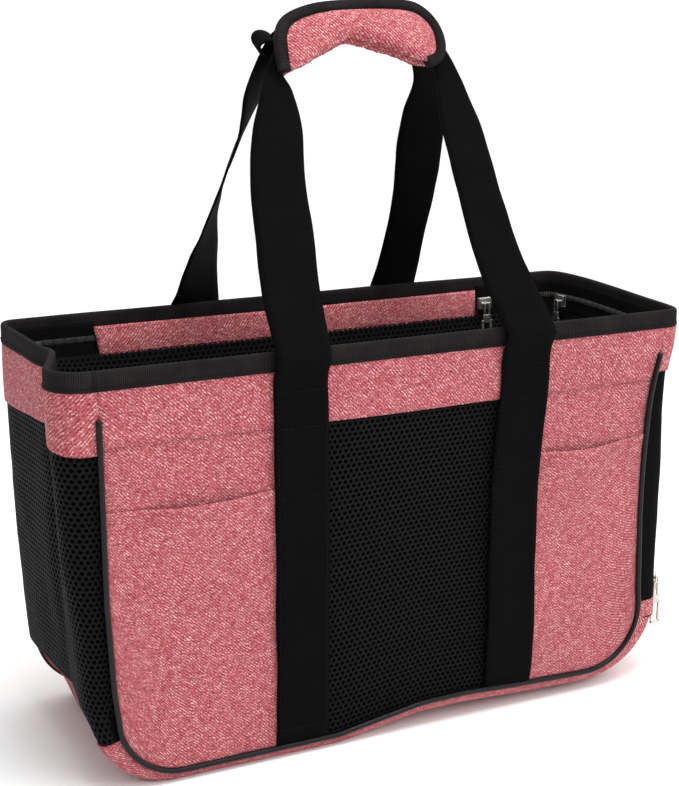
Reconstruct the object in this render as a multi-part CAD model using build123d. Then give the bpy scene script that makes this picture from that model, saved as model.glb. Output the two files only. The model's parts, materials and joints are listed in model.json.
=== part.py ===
from build123d import *
import math
import os

# Pet carrier bag: a soft open-framed tote with a zipped mesh lid, a zipped mesh door at the
# right end and two webbing carry loops. Millimetres, +Z up, +X to the right, front towards -Y.
# The origin is under the middle of the bag, on the surface it stands on.

# ---------------------------------------------------------------- driving dimensions
LEFT_WALL = -228.5          # outer face of the left end
RIGHT_WALL = 221.8          # outer face of the right end
HALF_DEPTH = 81.0           # outer face of the front and back walls
CORNER_RADIUS = 14.0        # vertical edges of the body
FOOT_RADIUS = 45.0          # the ends turn under the bag in a wide curve
RIM_HEIGHT = 276.5          # top of the rim binding
FABRIC = 1.5                # lined polyester wall
MESH = 2.6                  # 3-D sandwich mesh
SEAM_LEFT = -213.0          # front and back panels meet the ends here
SEAM_RIGHT = 195.0

BINDING_HEIGHT = 13.5
BINDING_WIDTH = 5.0
BINDING_OUT = 1.5           # how far the binding stands out from the wall
RIM_TAPE = 1.4
COIL_THICK = 0.9
SOLE_HEIGHT = 9.0           # side of the base tray
BAND_TOP = RIM_HEIGHT - BINDING_HEIGHT
BAND_BOTTOM = 228.0         # lower edge of the fabric bands over the mesh windows
BASE_BAND_TOP = 45.0
POCKET_TOP = 187.0
POCKET_BOTTOM = 14.0
POCKET_INSET = 5.5          # from the end seam, which leaves room for the piping
POCKET_FACE = 2.0           # the pocket cloth's outer face, out from the wall
POCKET_CLOTH = 1.2

WEBBING_WIDTH = 38.0
WEBBING = 1.6
STRAP_LEFT = -81.0          # centre lines of the straps at the rim
STRAP_RIGHT = 90.0
STRAP_RIGHT_AT_BASE = 83.0

PIPING_RADIUS = 1.8
PIPING_CORNER = 45.0
PIPING_TOP = 245.0
PIPING_BOTTOM = 11.0
PIPING_OUT = 2.2            # the cord's middle, out from the wall

HANDLE_HINGE_Y = 86.0       # carry loops fold about these lines
HANDLE_HINGE_Z = 278.5
FRONT_LEAN = 18.2           # degrees that each loop leans over the lid
BACK_LEAN = 28.0
GRIP_LEFT = -71.0
GRIP_RIGHT = 53.0
GRIP_BOTTOM = 178.0         # measured up the front loop from its hinge line
GRIP_TOP = 222.0
GRIP_PAD = 5.0
GRIP_EDGE = 6.5             # width of the binding round the grip flap

LID_HINGE_Y = 74.0
LID_HINGE_Z = 268.0
LID_EDGE_Y = 73.5
LID_LEFT = LEFT_WALL + 6.9
LID_RIGHT = RIGHT_WALL - 6.9
LID_TAPE_TOP = 262.0
LID_TAPE_BOTTOM = 256.0
LID_TAPE = 1.2
LID_FLOOR = 228.0           # the lid sags to here
LID_SLOPE = 7.0
LID_CORNER = 8.0
HINGE_BAND = 1.4            # thickness of the fabric band that joins the lid to the back wall
HINGE_BAND_LEFT = -158.0
HINGE_BAND_RIGHT = 146.0

DOOR_HALF = 55.0
DOOR_BOTTOM = 46.5
DOOR_TOP = 228.0
DOOR_TAPE = 9.0
DOOR_ARCH = 30.0            # radius of the door's top corners
ZIP_TAPE = 12.0
COIL = 4.0
DOOR_COIL_OUT = 1.2         # how far the door's coil stands out from the end

SLIDER = (10.0, 5.0, 12.0)  # length across the coil, height off the tape, length along the coil
SLIDER_ROUND = 2.0
PULL_LENGTH = 32.0
LID_PULL_LENGTH = 30.0
PULL_WIDTH = 7.0
PULL_THICK = 1.4
CLEAR = 0.3

BOARD = 3.0
BOARD_INSET = 46.0          # from each end, clear of the curve under the bag
MAT = 10.0
MAT_INSET = 31.0
SHEET_CORNER = 10.0


# ---------------------------------------------------------------- helpers
def block(x0, x1, y0, y1, z0, z1):
    """A box between two corners."""
    centre = Pos((x0 + x1) / 2, (y0 + y1) / 2, (z0 + z1) / 2)
    return centre * Box(x1 - x0, y1 - y0, z1 - z0)


def slab(x0, x1, y0, y1, z0, z1, radius):
    """An upright box with rounded vertical edges."""
    plan = RectangleRounded(x1 - x0, y1 - y0, radius)
    return Pos((x0 + x1) / 2, (y0 + y1) / 2, z0) * extrude(plan, z1 - z0)


def end_profile(inset):
    """The bag seen from the front, drawn in by inset: upright ends that curve under the base."""
    x0, x1 = LEFT_WALL + inset, RIGHT_WALL - inset
    height = RIM_HEIGHT + 50
    middle = Plane.XZ * Pos((x0 + x1) / 2, inset + height / 2)
    outline = middle * Rectangle(x1 - x0, height)
    foot = outline.vertices().group_by(Axis.Z)[0]
    outline = fillet(foot, FOOT_RADIUS - inset)
    return extrude(outline, HALF_DEPTH + 10, both=True)


def body_slab(inset, z0, z1):
    """The bag's body between two heights, drawn in by inset."""
    radius = max(CORNER_RADIUS - inset, 1.0)
    upright = slab(
        LEFT_WALL + inset, RIGHT_WALL - inset,
        inset - HALF_DEPTH, HALF_DEPTH - inset,
        z0, z1, radius,
    )
    if z0 > FOOT_RADIUS:
        return upright
    return upright & end_profile(inset)


def ring(outer_inset, inner_inset, z0, z1):
    """A band that follows the bag's plan."""
    return body_slab(outer_inset, z0, z1) - body_slab(inner_inset, z0 - 1, z1 + 1)


def upright_sheet(points, y0, thickness):
    """A flat panel drawn in X and Z, standing at y0 and thickening towards +Y."""
    face = make_face(Polyline(*[(x, y0, z) for x, z in points], close=True))
    return extrude(face, thickness, dir=(0, 1, 0))


def face_panel(side, x0, x1, z0, z1, depth, thickness):
    """A panel in the front (side -1) or back (side +1) wall; depth is its outer face."""
    outer = side * depth
    inner = side * (depth - thickness)
    return block(x0, x1, min(outer, inner), max(outer, inner), z0, z1)


def end_wrap(side, z0, z1, thickness):
    """An end panel that turns both corners and meets the front and back at the seams."""
    wrap = ring(0, thickness, z0, z1)
    if side < 0:
        keep = block(LEFT_WALL - 5, SEAM_LEFT, -100, 100, z0 - 1, z1 + 1)
    else:
        keep = block(SEAM_RIGHT, RIGHT_WALL + 5, -100, 100, z0 - 1, z1 + 1)
    return wrap & keep


def arch(half_width, bottom, top, radius, x0, x1):
    """A door shape in Y and Z with rounded top corners, from x0 to x1."""
    path = [(x0, -half_width, bottom), (x0, half_width, bottom)]
    outline = Polyline(*path)
    outline += Line((x0, half_width, bottom), (x0, half_width, top - radius))
    diagonal = radius * math.sqrt(0.5)
    outline += ThreePointArc(
        (x0, half_width, top - radius),
        (x0, half_width - radius + diagonal, top - radius + diagonal),
        (x0, half_width - radius, top),
    )
    outline += Line((x0, half_width - radius, top), (x0, radius - half_width, top))
    outline += ThreePointArc(
        (x0, radius - half_width, top),
        (x0, radius - half_width - diagonal, top - radius + diagonal),
        (x0, -half_width, top - radius),
    )
    outline += Line((x0, -half_width, top - radius), (x0, -half_width, bottom))
    return extrude(make_face(outline), x1 - x0, dir=(1, 0, 0))


def save(name, shape):
    """Writes one sub-part."""
    shape.label = name
    export_step(shape, f"parts/{name}.step")


# ---------------------------------------------------------------- base
def base_tray():
    outer = body_slab(0, 0, SOLE_HEIGHT)
    return outer - body_slab(FABRIC, FABRIC, SOLE_HEIGHT + 1)


def floor_sheet(end_inset, side_inset, z0, thickness):
    """A flat piece that lies in the bottom of the bag."""
    return slab(
        LEFT_WALL + end_inset, RIGHT_WALL - end_inset,
        side_inset - HALF_DEPTH, HALF_DEPTH - side_inset,
        z0, z0 + thickness, SHEET_CORNER,
    )


def base_board():
    return floor_sheet(BOARD_INSET, FABRIC + 3, FABRIC, BOARD)


def base_mat():
    return floor_sheet(MAT_INSET, FABRIC + 2, FABRIC + BOARD, MAT)


# ---------------------------------------------------------------- front and back walls
def wall_panel(side, hand):
    """The fabric wall beside the mesh window, from the end seam to under the strap."""
    if hand == "left":
        x0, x1 = SEAM_LEFT, STRAP_LEFT
    else:
        x0, x1 = STRAP_RIGHT, SEAM_RIGHT
    return face_panel(side, x0, x1, SOLE_HEIGHT, BAND_TOP, HALF_DEPTH, FABRIC)


def pocket(side, hand):
    """The outer slip pocket: a patch sewn on three sides and open along its top."""
    if hand == "left":
        x0 = SEAM_LEFT + POCKET_INSET
        x1 = STRAP_LEFT - WEBBING_WIDTH / 2 - 0.5
        outer_end = 0
    else:
        x0 = STRAP_RIGHT + WEBBING_WIDTH / 2 + 0.5
        x1 = SEAM_RIGHT - POCKET_INSET
        outer_end = -1
    patch = face_panel(side, x0, x1, POCKET_BOTTOM, POCKET_TOP, HALF_DEPTH + POCKET_FACE, POCKET_CLOTH)
    foot = patch.edges().filter_by(Axis.Y).group_by(Axis.Z)[0]
    return fillet(foot.sort_by(Axis.X)[outer_end], PIPING_CORNER - 4)


def mesh_window(side):
    return face_panel(
        side, STRAP_LEFT, STRAP_RIGHT, SOLE_HEIGHT, BAND_BOTTOM, HALF_DEPTH, MESH
    )


def window_band(side):
    return face_panel(
        side, STRAP_LEFT, STRAP_RIGHT, BAND_BOTTOM, BAND_TOP, HALF_DEPTH, FABRIC
    )


def piping(side):
    """The corded edge round the front or back wall."""
    y = side * (HALF_DEPTH + PIPING_OUT)
    route = FilletPolyline(
        (SEAM_LEFT + 2, y, PIPING_TOP),
        (SEAM_LEFT + 2, y, PIPING_BOTTOM),
        (SEAM_RIGHT - 1, y, PIPING_BOTTOM),
        (SEAM_RIGHT - 1, y, PIPING_TOP),
        radius=PIPING_CORNER,
    )
    start = Plane(origin=route @ 0, z_dir=route % 0)
    return sweep(start * Circle(PIPING_RADIUS), path=route)


def sewn_strap(side, hand):
    """The part of a carry strap that is sewn down the wall."""
    half = WEBBING_WIDTH / 2
    top = STRAP_LEFT if hand == "left" else STRAP_RIGHT
    foot = STRAP_LEFT if hand == "left" else STRAP_RIGHT_AT_BASE
    points = [
        (foot - half, POCKET_BOTTOM), (foot + half, POCKET_BOTTOM),
        (top + half, RIM_HEIGHT), (top - half, RIM_HEIGHT),
    ]
    outer = HALF_DEPTH + BINDING_OUT + WEBBING
    y0 = -outer if side < 0 else outer - WEBBING
    return upright_sheet(points, y0, WEBBING)


# ---------------------------------------------------------------- rim and lid zip
def rim_binding():
    return ring(-BINDING_OUT, BINDING_WIDTH - BINDING_OUT, BAND_TOP, RIM_HEIGHT)


def lid_zip_outer_tape():
    """Hangs inside the rim; the hinge band takes its place at the back."""
    inset = BINDING_WIDTH - BINDING_OUT
    tape = ring(inset, inset + RIM_TAPE, LID_TAPE_TOP - 6, BAND_TOP + 9)
    gap = block(HINGE_BAND_LEFT, HINGE_BAND_RIGHT, 0, 100, 200, 300)
    return tape - gap


def lid_zip_coil():
    inset = BINDING_WIDTH - 0.1
    coil = ring(inset, inset + COIL_THICK, LID_TAPE_TOP - 1, LID_TAPE_TOP + 2)
    gap = block(HINGE_BAND_LEFT, HINGE_BAND_RIGHT, 0, 100, 200, 300)
    return coil - gap


# ---------------------------------------------------------------- left end
def left_top_band():
    return end_wrap(-1, BAND_BOTTOM, BAND_TOP, FABRIC)


def left_mesh():
    return end_wrap(-1, BASE_BAND_TOP, BAND_BOTTOM, MESH)


def left_base_band():
    return end_wrap(-1, SOLE_HEIGHT, BASE_BAND_TOP, FABRIC)


# ---------------------------------------------------------------- right end and its door
def right_top_band():
    top = end_wrap(1, DOOR_TOP + ZIP_TAPE + 1, BAND_TOP, FABRIC)
    return top


def right_base_band():
    return end_wrap(1, SOLE_HEIGHT, BASE_BAND_TOP, FABRIC)


def right_corner(side):
    """The fabric strip between the front or back seam and the door's zip."""
    wrap = end_wrap(1, BASE_BAND_TOP, DOOR_TOP + ZIP_TAPE + 1, FABRIC)
    edge = DOOR_HALF + 1 + ZIP_TAPE
    if side < 0:
        return wrap & block(150, 250, -100, -edge, 0, 300)
    return wrap & block(150, 250, edge, 100, 0, 300)


def door_zip_tape():
    """The zip tape that stays on the bag, round the door's opening."""
    opening = DOOR_HALF + 1
    x0 = RIGHT_WALL - FABRIC
    frame = block(
        x0, RIGHT_WALL, -opening - ZIP_TAPE, opening + ZIP_TAPE,
        BASE_BAND_TOP, DOOR_TOP + ZIP_TAPE + 1,
    )
    hole = arch(opening, BASE_BAND_TOP - 1, DOOR_TOP + 1, DOOR_ARCH, x0 - 1, RIGHT_WALL + 1)
    return frame - hole


def door_zip_coil():
    """Runs up the front of the door, over its top and down behind."""
    middle = DOOR_HALF + 1 + ZIP_TAPE / 2
    outer = middle + COIL / 2
    inner = middle - COIL / 2
    lift = ZIP_TAPE / 2 + 1
    x0, x1 = RIGHT_WALL, RIGHT_WALL + DOOR_COIL_OUT
    shape = arch(
        outer, BASE_BAND_TOP + 2, DOOR_TOP + lift + COIL / 2, DOOR_ARCH + lift + COIL / 2, x0, x1
    )
    hole = arch(
        inner, BASE_BAND_TOP, DOOR_TOP + lift - COIL / 2, DOOR_ARCH + lift - COIL / 2, x0 - 1, x1 + 1
    )
    return shape - hole


def door_mesh():
    half = DOOR_HALF - DOOR_TAPE
    return arch(
        half, DOOR_BOTTOM + 4, DOOR_TOP - DOOR_TAPE, DOOR_ARCH - DOOR_TAPE,
        RIGHT_WALL - FABRIC - 0.6, RIGHT_WALL,
    )


def door_edge():
    """The door's half of the zip tape, with the fold along its foot."""
    x0 = RIGHT_WALL - FABRIC
    whole = arch(DOOR_HALF, DOOR_BOTTOM, DOOR_TOP, DOOR_ARCH, x0, RIGHT_WALL)
    hole = arch(
        DOOR_HALF - DOOR_TAPE, DOOR_BOTTOM + 4, DOOR_TOP - DOOR_TAPE, DOOR_ARCH - DOOR_TAPE,
        x0 - 1, RIGHT_WALL + 1,
    )
    return whole - hole


def pull_tab(length):
    """A zip pull: a plate with a long window. It hangs from its top hole, at the origin."""
    plate = Pos(0, 0, -length / 2) * Box(PULL_WIDTH, PULL_THICK, length)
    window = Pos(0, 0, -length * 0.62) * Box(PULL_WIDTH - 3.0, PULL_THICK + 1, length * 0.55)
    eye = Pos(0, 0, -2.6) * Rot(90, 0, 0) * Cylinder(1.2, PULL_THICK + 1)
    return plate - window - eye


DOOR_SLIDER_Y = -(DOOR_HALF + 1 + ZIP_TAPE / 2)
DOOR_SLIDER_Z = 64.0
DOOR_PULL_X = RIGHT_WALL + DOOR_COIL_OUT + CLEAR + SLIDER[1] + CLEAR + PULL_THICK / 2


def door_slider():
    x0 = RIGHT_WALL + DOOR_COIL_OUT + CLEAR
    body = block(
        x0, x0 + SLIDER[1],
        DOOR_SLIDER_Y - SLIDER[0] / 2, DOOR_SLIDER_Y + SLIDER[0] / 2,
        DOOR_SLIDER_Z - SLIDER[2] / 2, DOOR_SLIDER_Z + SLIDER[2] / 2,
    )
    return fillet(body.edges().filter_by(Axis.X), SLIDER_ROUND)


def door_pull():
    return Pos(DOOR_PULL_X, DOOR_SLIDER_Y, DOOR_SLIDER_Z) * Rot(0, 0, 90) * pull_tab(PULL_LENGTH)


# ---------------------------------------------------------------- lid
def lid_plan(inset, z0, z1):
    return slab(
        LID_LEFT + inset, LID_RIGHT - inset, inset - LID_EDGE_Y, LID_EDGE_Y - inset, z0, z1, LID_CORNER
    )


def lid_zip_inner_tape():
    """The lid's half of the zip tape. It is left off behind the hinge band."""
    tape = lid_plan(0, LID_TAPE_BOTTOM, LID_TAPE_TOP) - lid_plan(LID_TAPE, 250, 270)
    return tape - block(-300, 300, LID_EDGE_Y - 6, 100, 250, 270)


def lid_hinge_band():
    return block(
        HINGE_BAND_LEFT, HINGE_BAND_RIGHT, LID_EDGE_Y - HINGE_BAND, LID_EDGE_Y,
        LID_TAPE_BOTTOM, LID_HINGE_Z,
    )


def lid_outline(inset, slope, z):
    """The lid's plan at one height. It slopes in at the front and left and stays upright elsewhere."""
    x0 = LID_LEFT + inset + slope
    x1 = LID_RIGHT - inset
    y0 = inset + slope - LID_EDGE_Y
    y1 = LID_EDGE_Y - inset
    return Pos((x0 + x1) / 2, (y0 + y1) / 2, z) * RectangleRounded(x1 - x0, y1 - y0, LID_CORNER)


def lid_mesh():
    """A sagging mesh tray below the zip."""
    outer = loft([
        lid_outline(LID_TAPE, LID_SLOPE, LID_FLOOR),
        lid_outline(LID_TAPE, 0, LID_TAPE_BOTTOM),
    ])
    inner = loft([
        lid_outline(LID_TAPE + FABRIC, LID_SLOPE, LID_FLOOR + FABRIC),
        lid_outline(LID_TAPE + FABRIC, 0, LID_TAPE_BOTTOM + 0.01),
    ])
    return outer - inner


LID_SLIDER_Z = 261.0
SLIDER_FROM_EDGE = HINGE_BAND + SLIDER[1] / 2      # slider's middle, in from the lid's edge
PULL_FROM_EDGE = HINGE_BAND + SLIDER[1] + CLEAR + PULL_THICK / 2
BACK_SLIDER_X = 153.0
END_SLIDER_Y = 52.0


def lid_slider_back():
    """The slider parked on the back run of the zip, beside the hinge band."""
    y = LID_EDGE_Y - SLIDER_FROM_EDGE
    body = Pos(BACK_SLIDER_X, y, LID_SLIDER_Z) * Box(SLIDER[2], SLIDER[1], SLIDER[0])
    return fillet(body.edges().filter_by(Axis.Y), SLIDER_ROUND)


def lid_slider_end():
    """The slider on the right end's run of the zip."""
    x = LID_RIGHT - SLIDER_FROM_EDGE
    body = Pos(x, END_SLIDER_Y, LID_SLIDER_Z) * Box(SLIDER[1], SLIDER[2], SLIDER[0])
    return fillet(body.edges().filter_by(Axis.X), SLIDER_ROUND)


def lid_pull_back():
    y = LID_EDGE_Y - PULL_FROM_EDGE
    return Pos(BACK_SLIDER_X, y, LID_SLIDER_Z) * pull_tab(LID_PULL_LENGTH)


def lid_pull_end():
    x = LID_RIGHT - PULL_FROM_EDGE
    return Pos(x, END_SLIDER_Y, LID_SLIDER_Z) * Rot(0, 0, 90) * pull_tab(LID_PULL_LENGTH)


# ---------------------------------------------------------------- carry loops
def loop_plane(side, lean):
    """Local X is along the bag, local Y goes up the loop and local Z points to the front."""
    tilt = math.radians(lean)
    return Plane(
        origin=(0, side * HANDLE_HINGE_Y, HANDLE_HINGE_Z),
        x_dir=(1, 0, 0),
        z_dir=(0, -math.cos(tilt), -side * math.sin(tilt)),
    )


FRONT_PLANE = loop_plane(-1, FRONT_LEAN)
BACK_PLANE = loop_plane(1, BACK_LEAN)


def loop_webbing(plane, top):
    """One carry loop: two straps that draw together to the folded stretch at the top."""
    half = WEBBING_WIDTH / 2
    foot = 1.6
    waist = top - 50.0
    points = [
        (STRAP_LEFT - half, foot), (STRAP_LEFT + half, foot),
        (STRAP_LEFT + half + 6, waist), (STRAP_LEFT + half + 18, top - 26),
        (STRAP_RIGHT - half - 26, top - 26), (STRAP_RIGHT - half - 14, waist),
        (STRAP_RIGHT - half, foot), (STRAP_RIGHT + half, foot),
        (STRAP_RIGHT + half - 14, waist), (STRAP_RIGHT + half - 36, top),
        (STRAP_LEFT - half + 26, top), (STRAP_LEFT - half + 6, waist),
    ]
    face = make_face(Polyline(*[(x, y) for x, y in points], close=True))
    return plane * Pos(0, 0, -WEBBING / 2) * extrude(face, WEBBING)


def grip_block(x0, x1, v0, v1, w0, w1):
    """A box in the front loop's own plane: x, distance up the loop, distance to the front."""
    return FRONT_PLANE * block(x0, x1, v0, v1, w0, w1)


PAD_GAP = 1.2               # from the loop's middle plane to the pad's inner face


def grip_back_pad():
    return grip_block(
        GRIP_LEFT, GRIP_RIGHT, GRIP_BOTTOM, GRIP_TOP - 1, -PAD_GAP - GRIP_PAD, -PAD_GAP
    )


def grip_flap():
    """The front half of the padded wrap, which opens about its lower edge."""
    pad = block(
        GRIP_LEFT + GRIP_EDGE, GRIP_RIGHT - GRIP_EDGE, GRIP_BOTTOM, GRIP_TOP - GRIP_EDGE,
        PAD_GAP, PAD_GAP + GRIP_PAD,
    )
    bottom_edges = pad.edges().filter_by(Axis.X).group_by(Axis.Y)[0]
    return FRONT_PLANE * fillet(bottom_edges, GRIP_PAD / 2 - 0.1)


def grip_binding():
    """Edge binding on the flap's two ends and along its top."""
    low = GRIP_BOTTOM + GRIP_PAD / 2
    whole = block(GRIP_LEFT, GRIP_RIGHT, low, GRIP_TOP, PAD_GAP, PAD_GAP + GRIP_PAD)
    inside = block(
        GRIP_LEFT + GRIP_EDGE, GRIP_RIGHT - GRIP_EDGE, low - 1, GRIP_TOP - GRIP_EDGE, 0, 20
    )
    return FRONT_PLANE * (whole - inside)


STRIP_TOP = GRIP_TOP - 1.5
STRIP_BOTTOM = GRIP_TOP - 10.0
STRIP_INSET = 14.0


def hook_strip():
    """Half of the fastener that closes the wrap; this half is on the flap."""
    return grip_block(
        GRIP_LEFT + STRIP_INSET, GRIP_RIGHT - STRIP_INSET, STRIP_BOTTOM, STRIP_TOP, 0.2, PAD_GAP
    )


def loop_strip():
    return grip_block(
        GRIP_LEFT + STRIP_INSET, GRIP_RIGHT - STRIP_INSET, STRIP_BOTTOM, STRIP_TOP, -PAD_GAP, -0.2
    )


FRONT_LOOP_TOP = STRIP_BOTTOM - 1.0
BACK_LOOP_TOP = 208.0


# ---------------------------------------------------------------- write every sub-part
def main():
    os.makedirs("parts", exist_ok=True)
    save("base_tray", base_tray())
    save("base_board", base_board())
    save("base_mat", base_mat())
    for side, wall in ((-1, "front"), (1, "back")):
        for hand in ("left", "right"):
            save(f"{wall}_panel_{hand}", wall_panel(side, hand))
            save(f"{wall}_pocket_{hand}", pocket(side, hand))
            save(f"{wall}_strap_{hand}", sewn_strap(side, hand))
        save(f"{wall}_mesh_window", mesh_window(side))
        save(f"{wall}_window_band", window_band(side))
        save(f"{wall}_piping", piping(side))
        save(f"right_corner_{wall}", right_corner(side))
    save("rim_binding", rim_binding())
    save("lid_zip_outer_tape", lid_zip_outer_tape())
    save("lid_zip_coil", lid_zip_coil())
    save("left_top_band", left_top_band())
    save("left_mesh", left_mesh())
    save("left_base_band", left_base_band())
    save("right_top_band", right_top_band())
    save("right_base_band", right_base_band())
    save("door_zip_tape", door_zip_tape())
    save("door_zip_coil", door_zip_coil())
    save("door_mesh", door_mesh())
    save("door_edge", door_edge())
    save("door_slider", door_slider())
    save("door_pull", door_pull())
    save("lid_zip_inner_tape", lid_zip_inner_tape())
    save("lid_hinge_band", lid_hinge_band())
    save("lid_mesh", lid_mesh())
    save("lid_slider_back", lid_slider_back())
    save("lid_slider_end", lid_slider_end())
    save("lid_pull_back", lid_pull_back())
    save("lid_pull_end", lid_pull_end())
    save("front_handle_webbing", loop_webbing(FRONT_PLANE, FRONT_LOOP_TOP))
    save("back_handle_webbing", loop_webbing(BACK_PLANE, BACK_LOOP_TOP))
    save("grip_back_pad", grip_back_pad())
    save("grip_flap", grip_flap())
    save("grip_binding", grip_binding())
    save("grip_hook_strip", hook_strip())
    save("grip_loop_strip", loop_strip())


main()
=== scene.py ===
import json
import math

import bmesh
import bpy
import numpy as np
from mathutils import Matrix, Vector, noise


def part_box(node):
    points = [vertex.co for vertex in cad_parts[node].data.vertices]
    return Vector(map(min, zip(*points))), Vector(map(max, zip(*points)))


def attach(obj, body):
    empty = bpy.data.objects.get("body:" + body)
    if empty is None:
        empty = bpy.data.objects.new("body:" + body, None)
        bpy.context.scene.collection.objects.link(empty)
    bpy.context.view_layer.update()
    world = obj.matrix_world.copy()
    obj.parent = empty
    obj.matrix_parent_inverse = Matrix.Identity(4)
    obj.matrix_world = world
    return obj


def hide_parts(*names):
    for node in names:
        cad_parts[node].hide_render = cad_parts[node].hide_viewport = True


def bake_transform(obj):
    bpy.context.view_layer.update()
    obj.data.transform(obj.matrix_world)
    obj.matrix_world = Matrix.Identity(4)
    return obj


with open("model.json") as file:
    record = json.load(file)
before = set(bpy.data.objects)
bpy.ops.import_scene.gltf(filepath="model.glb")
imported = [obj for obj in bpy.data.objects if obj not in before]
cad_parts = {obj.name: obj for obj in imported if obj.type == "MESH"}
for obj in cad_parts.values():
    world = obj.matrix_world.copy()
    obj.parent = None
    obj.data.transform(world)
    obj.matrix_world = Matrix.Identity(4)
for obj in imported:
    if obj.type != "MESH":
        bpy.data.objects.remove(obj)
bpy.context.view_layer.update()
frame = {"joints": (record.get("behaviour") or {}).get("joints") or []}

# Pet carrier bag. Metres, +X right, +Y back, +Z up; the bag stands on z = 0.
# ------------------------------------------------------------------ sizes read from the frame
BODY_LOW, BODY_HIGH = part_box("rim_binding")
WALL_Y = (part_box("back_panel_left")[1].y + abs(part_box("front_panel_left")[0].y)) / 2
RIM_TOP = BODY_HIGH.z
BAND_TOP = BODY_LOW.z
BAND_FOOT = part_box("front_window_band")[0].z
POCKET_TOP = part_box("front_pocket_left")[1].z
JOINT = {j["name"]: j for j in frame["joints"]}

MM = 0.001
FOOT_RADIUS = 0.045         # corners of the front and back walls
STRAP_HALF = 0.019
THREAD = 0.00060            # pitch of the linen's threads
NET_PITCH = 0.0040          # from hole to hole of the spacer mesh
RNG_SHIFT = Vector((3.7, 9.1, 5.3))


# ------------------------------------------------------------------ small maths
def smooth(x, low=0.0, high=1.0):
    x = min(max((x - low) / (high - low), 0.0), 1.0)
    return x * x * (3 - 2 * x)


def bell(x, middle, width):
    return math.exp(-(((x - middle) / width) ** 2))


def lerp(a, b, t):
    return a + (b - a) * t


def ripple(a, b, scale, seed):
    """Soft noise from -1 to 1, the same every time."""
    return noise.noise(Vector((a * scale, b * scale, seed)) + RNG_SHIFT)


def lengths(points):
    """How long a line is up to each of its points."""
    return np.concatenate([[0], np.cumsum(np.linalg.norm(np.diff(points, axis=0), axis=1))])


def measured(line):
    """A line's length, and a function that gives its point at a length."""
    points = np.array([tuple(p) for p in line], float)
    run = lengths(points)

    def at(where):
        return Vector([np.interp(where, run, points[:, k]) for k in range(3)])

    return run[-1], at


def spline(points, count):
    """A smooth Catmull-Rom line through the points, evenly resampled."""
    p = np.array(points, float)
    p = np.vstack([2 * p[0] - p[1], p, 2 * p[-1] - p[-2]])
    fine = []
    for i in range(1, len(p) - 2):
        for t in np.linspace(0, 1, 16, endpoint=False):
            a = 2 * p[i]
            b = p[i + 1] - p[i - 1]
            c = 2 * p[i - 1] - 5 * p[i] + 4 * p[i + 1] - p[i + 2]
            d = -p[i - 1] + 3 * p[i] - 3 * p[i + 1] + p[i + 2]
            fine.append(0.5 * (a + b * t + c * t * t + d * t**3))
    fine.append(p[-2])
    fine = np.array(fine)
    run = lengths(fine[:, :3])
    at = np.linspace(0, run[-1], count)
    return np.stack([np.interp(at, run, fine[:, k]) for k in range(p.shape[1])], 1)


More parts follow.
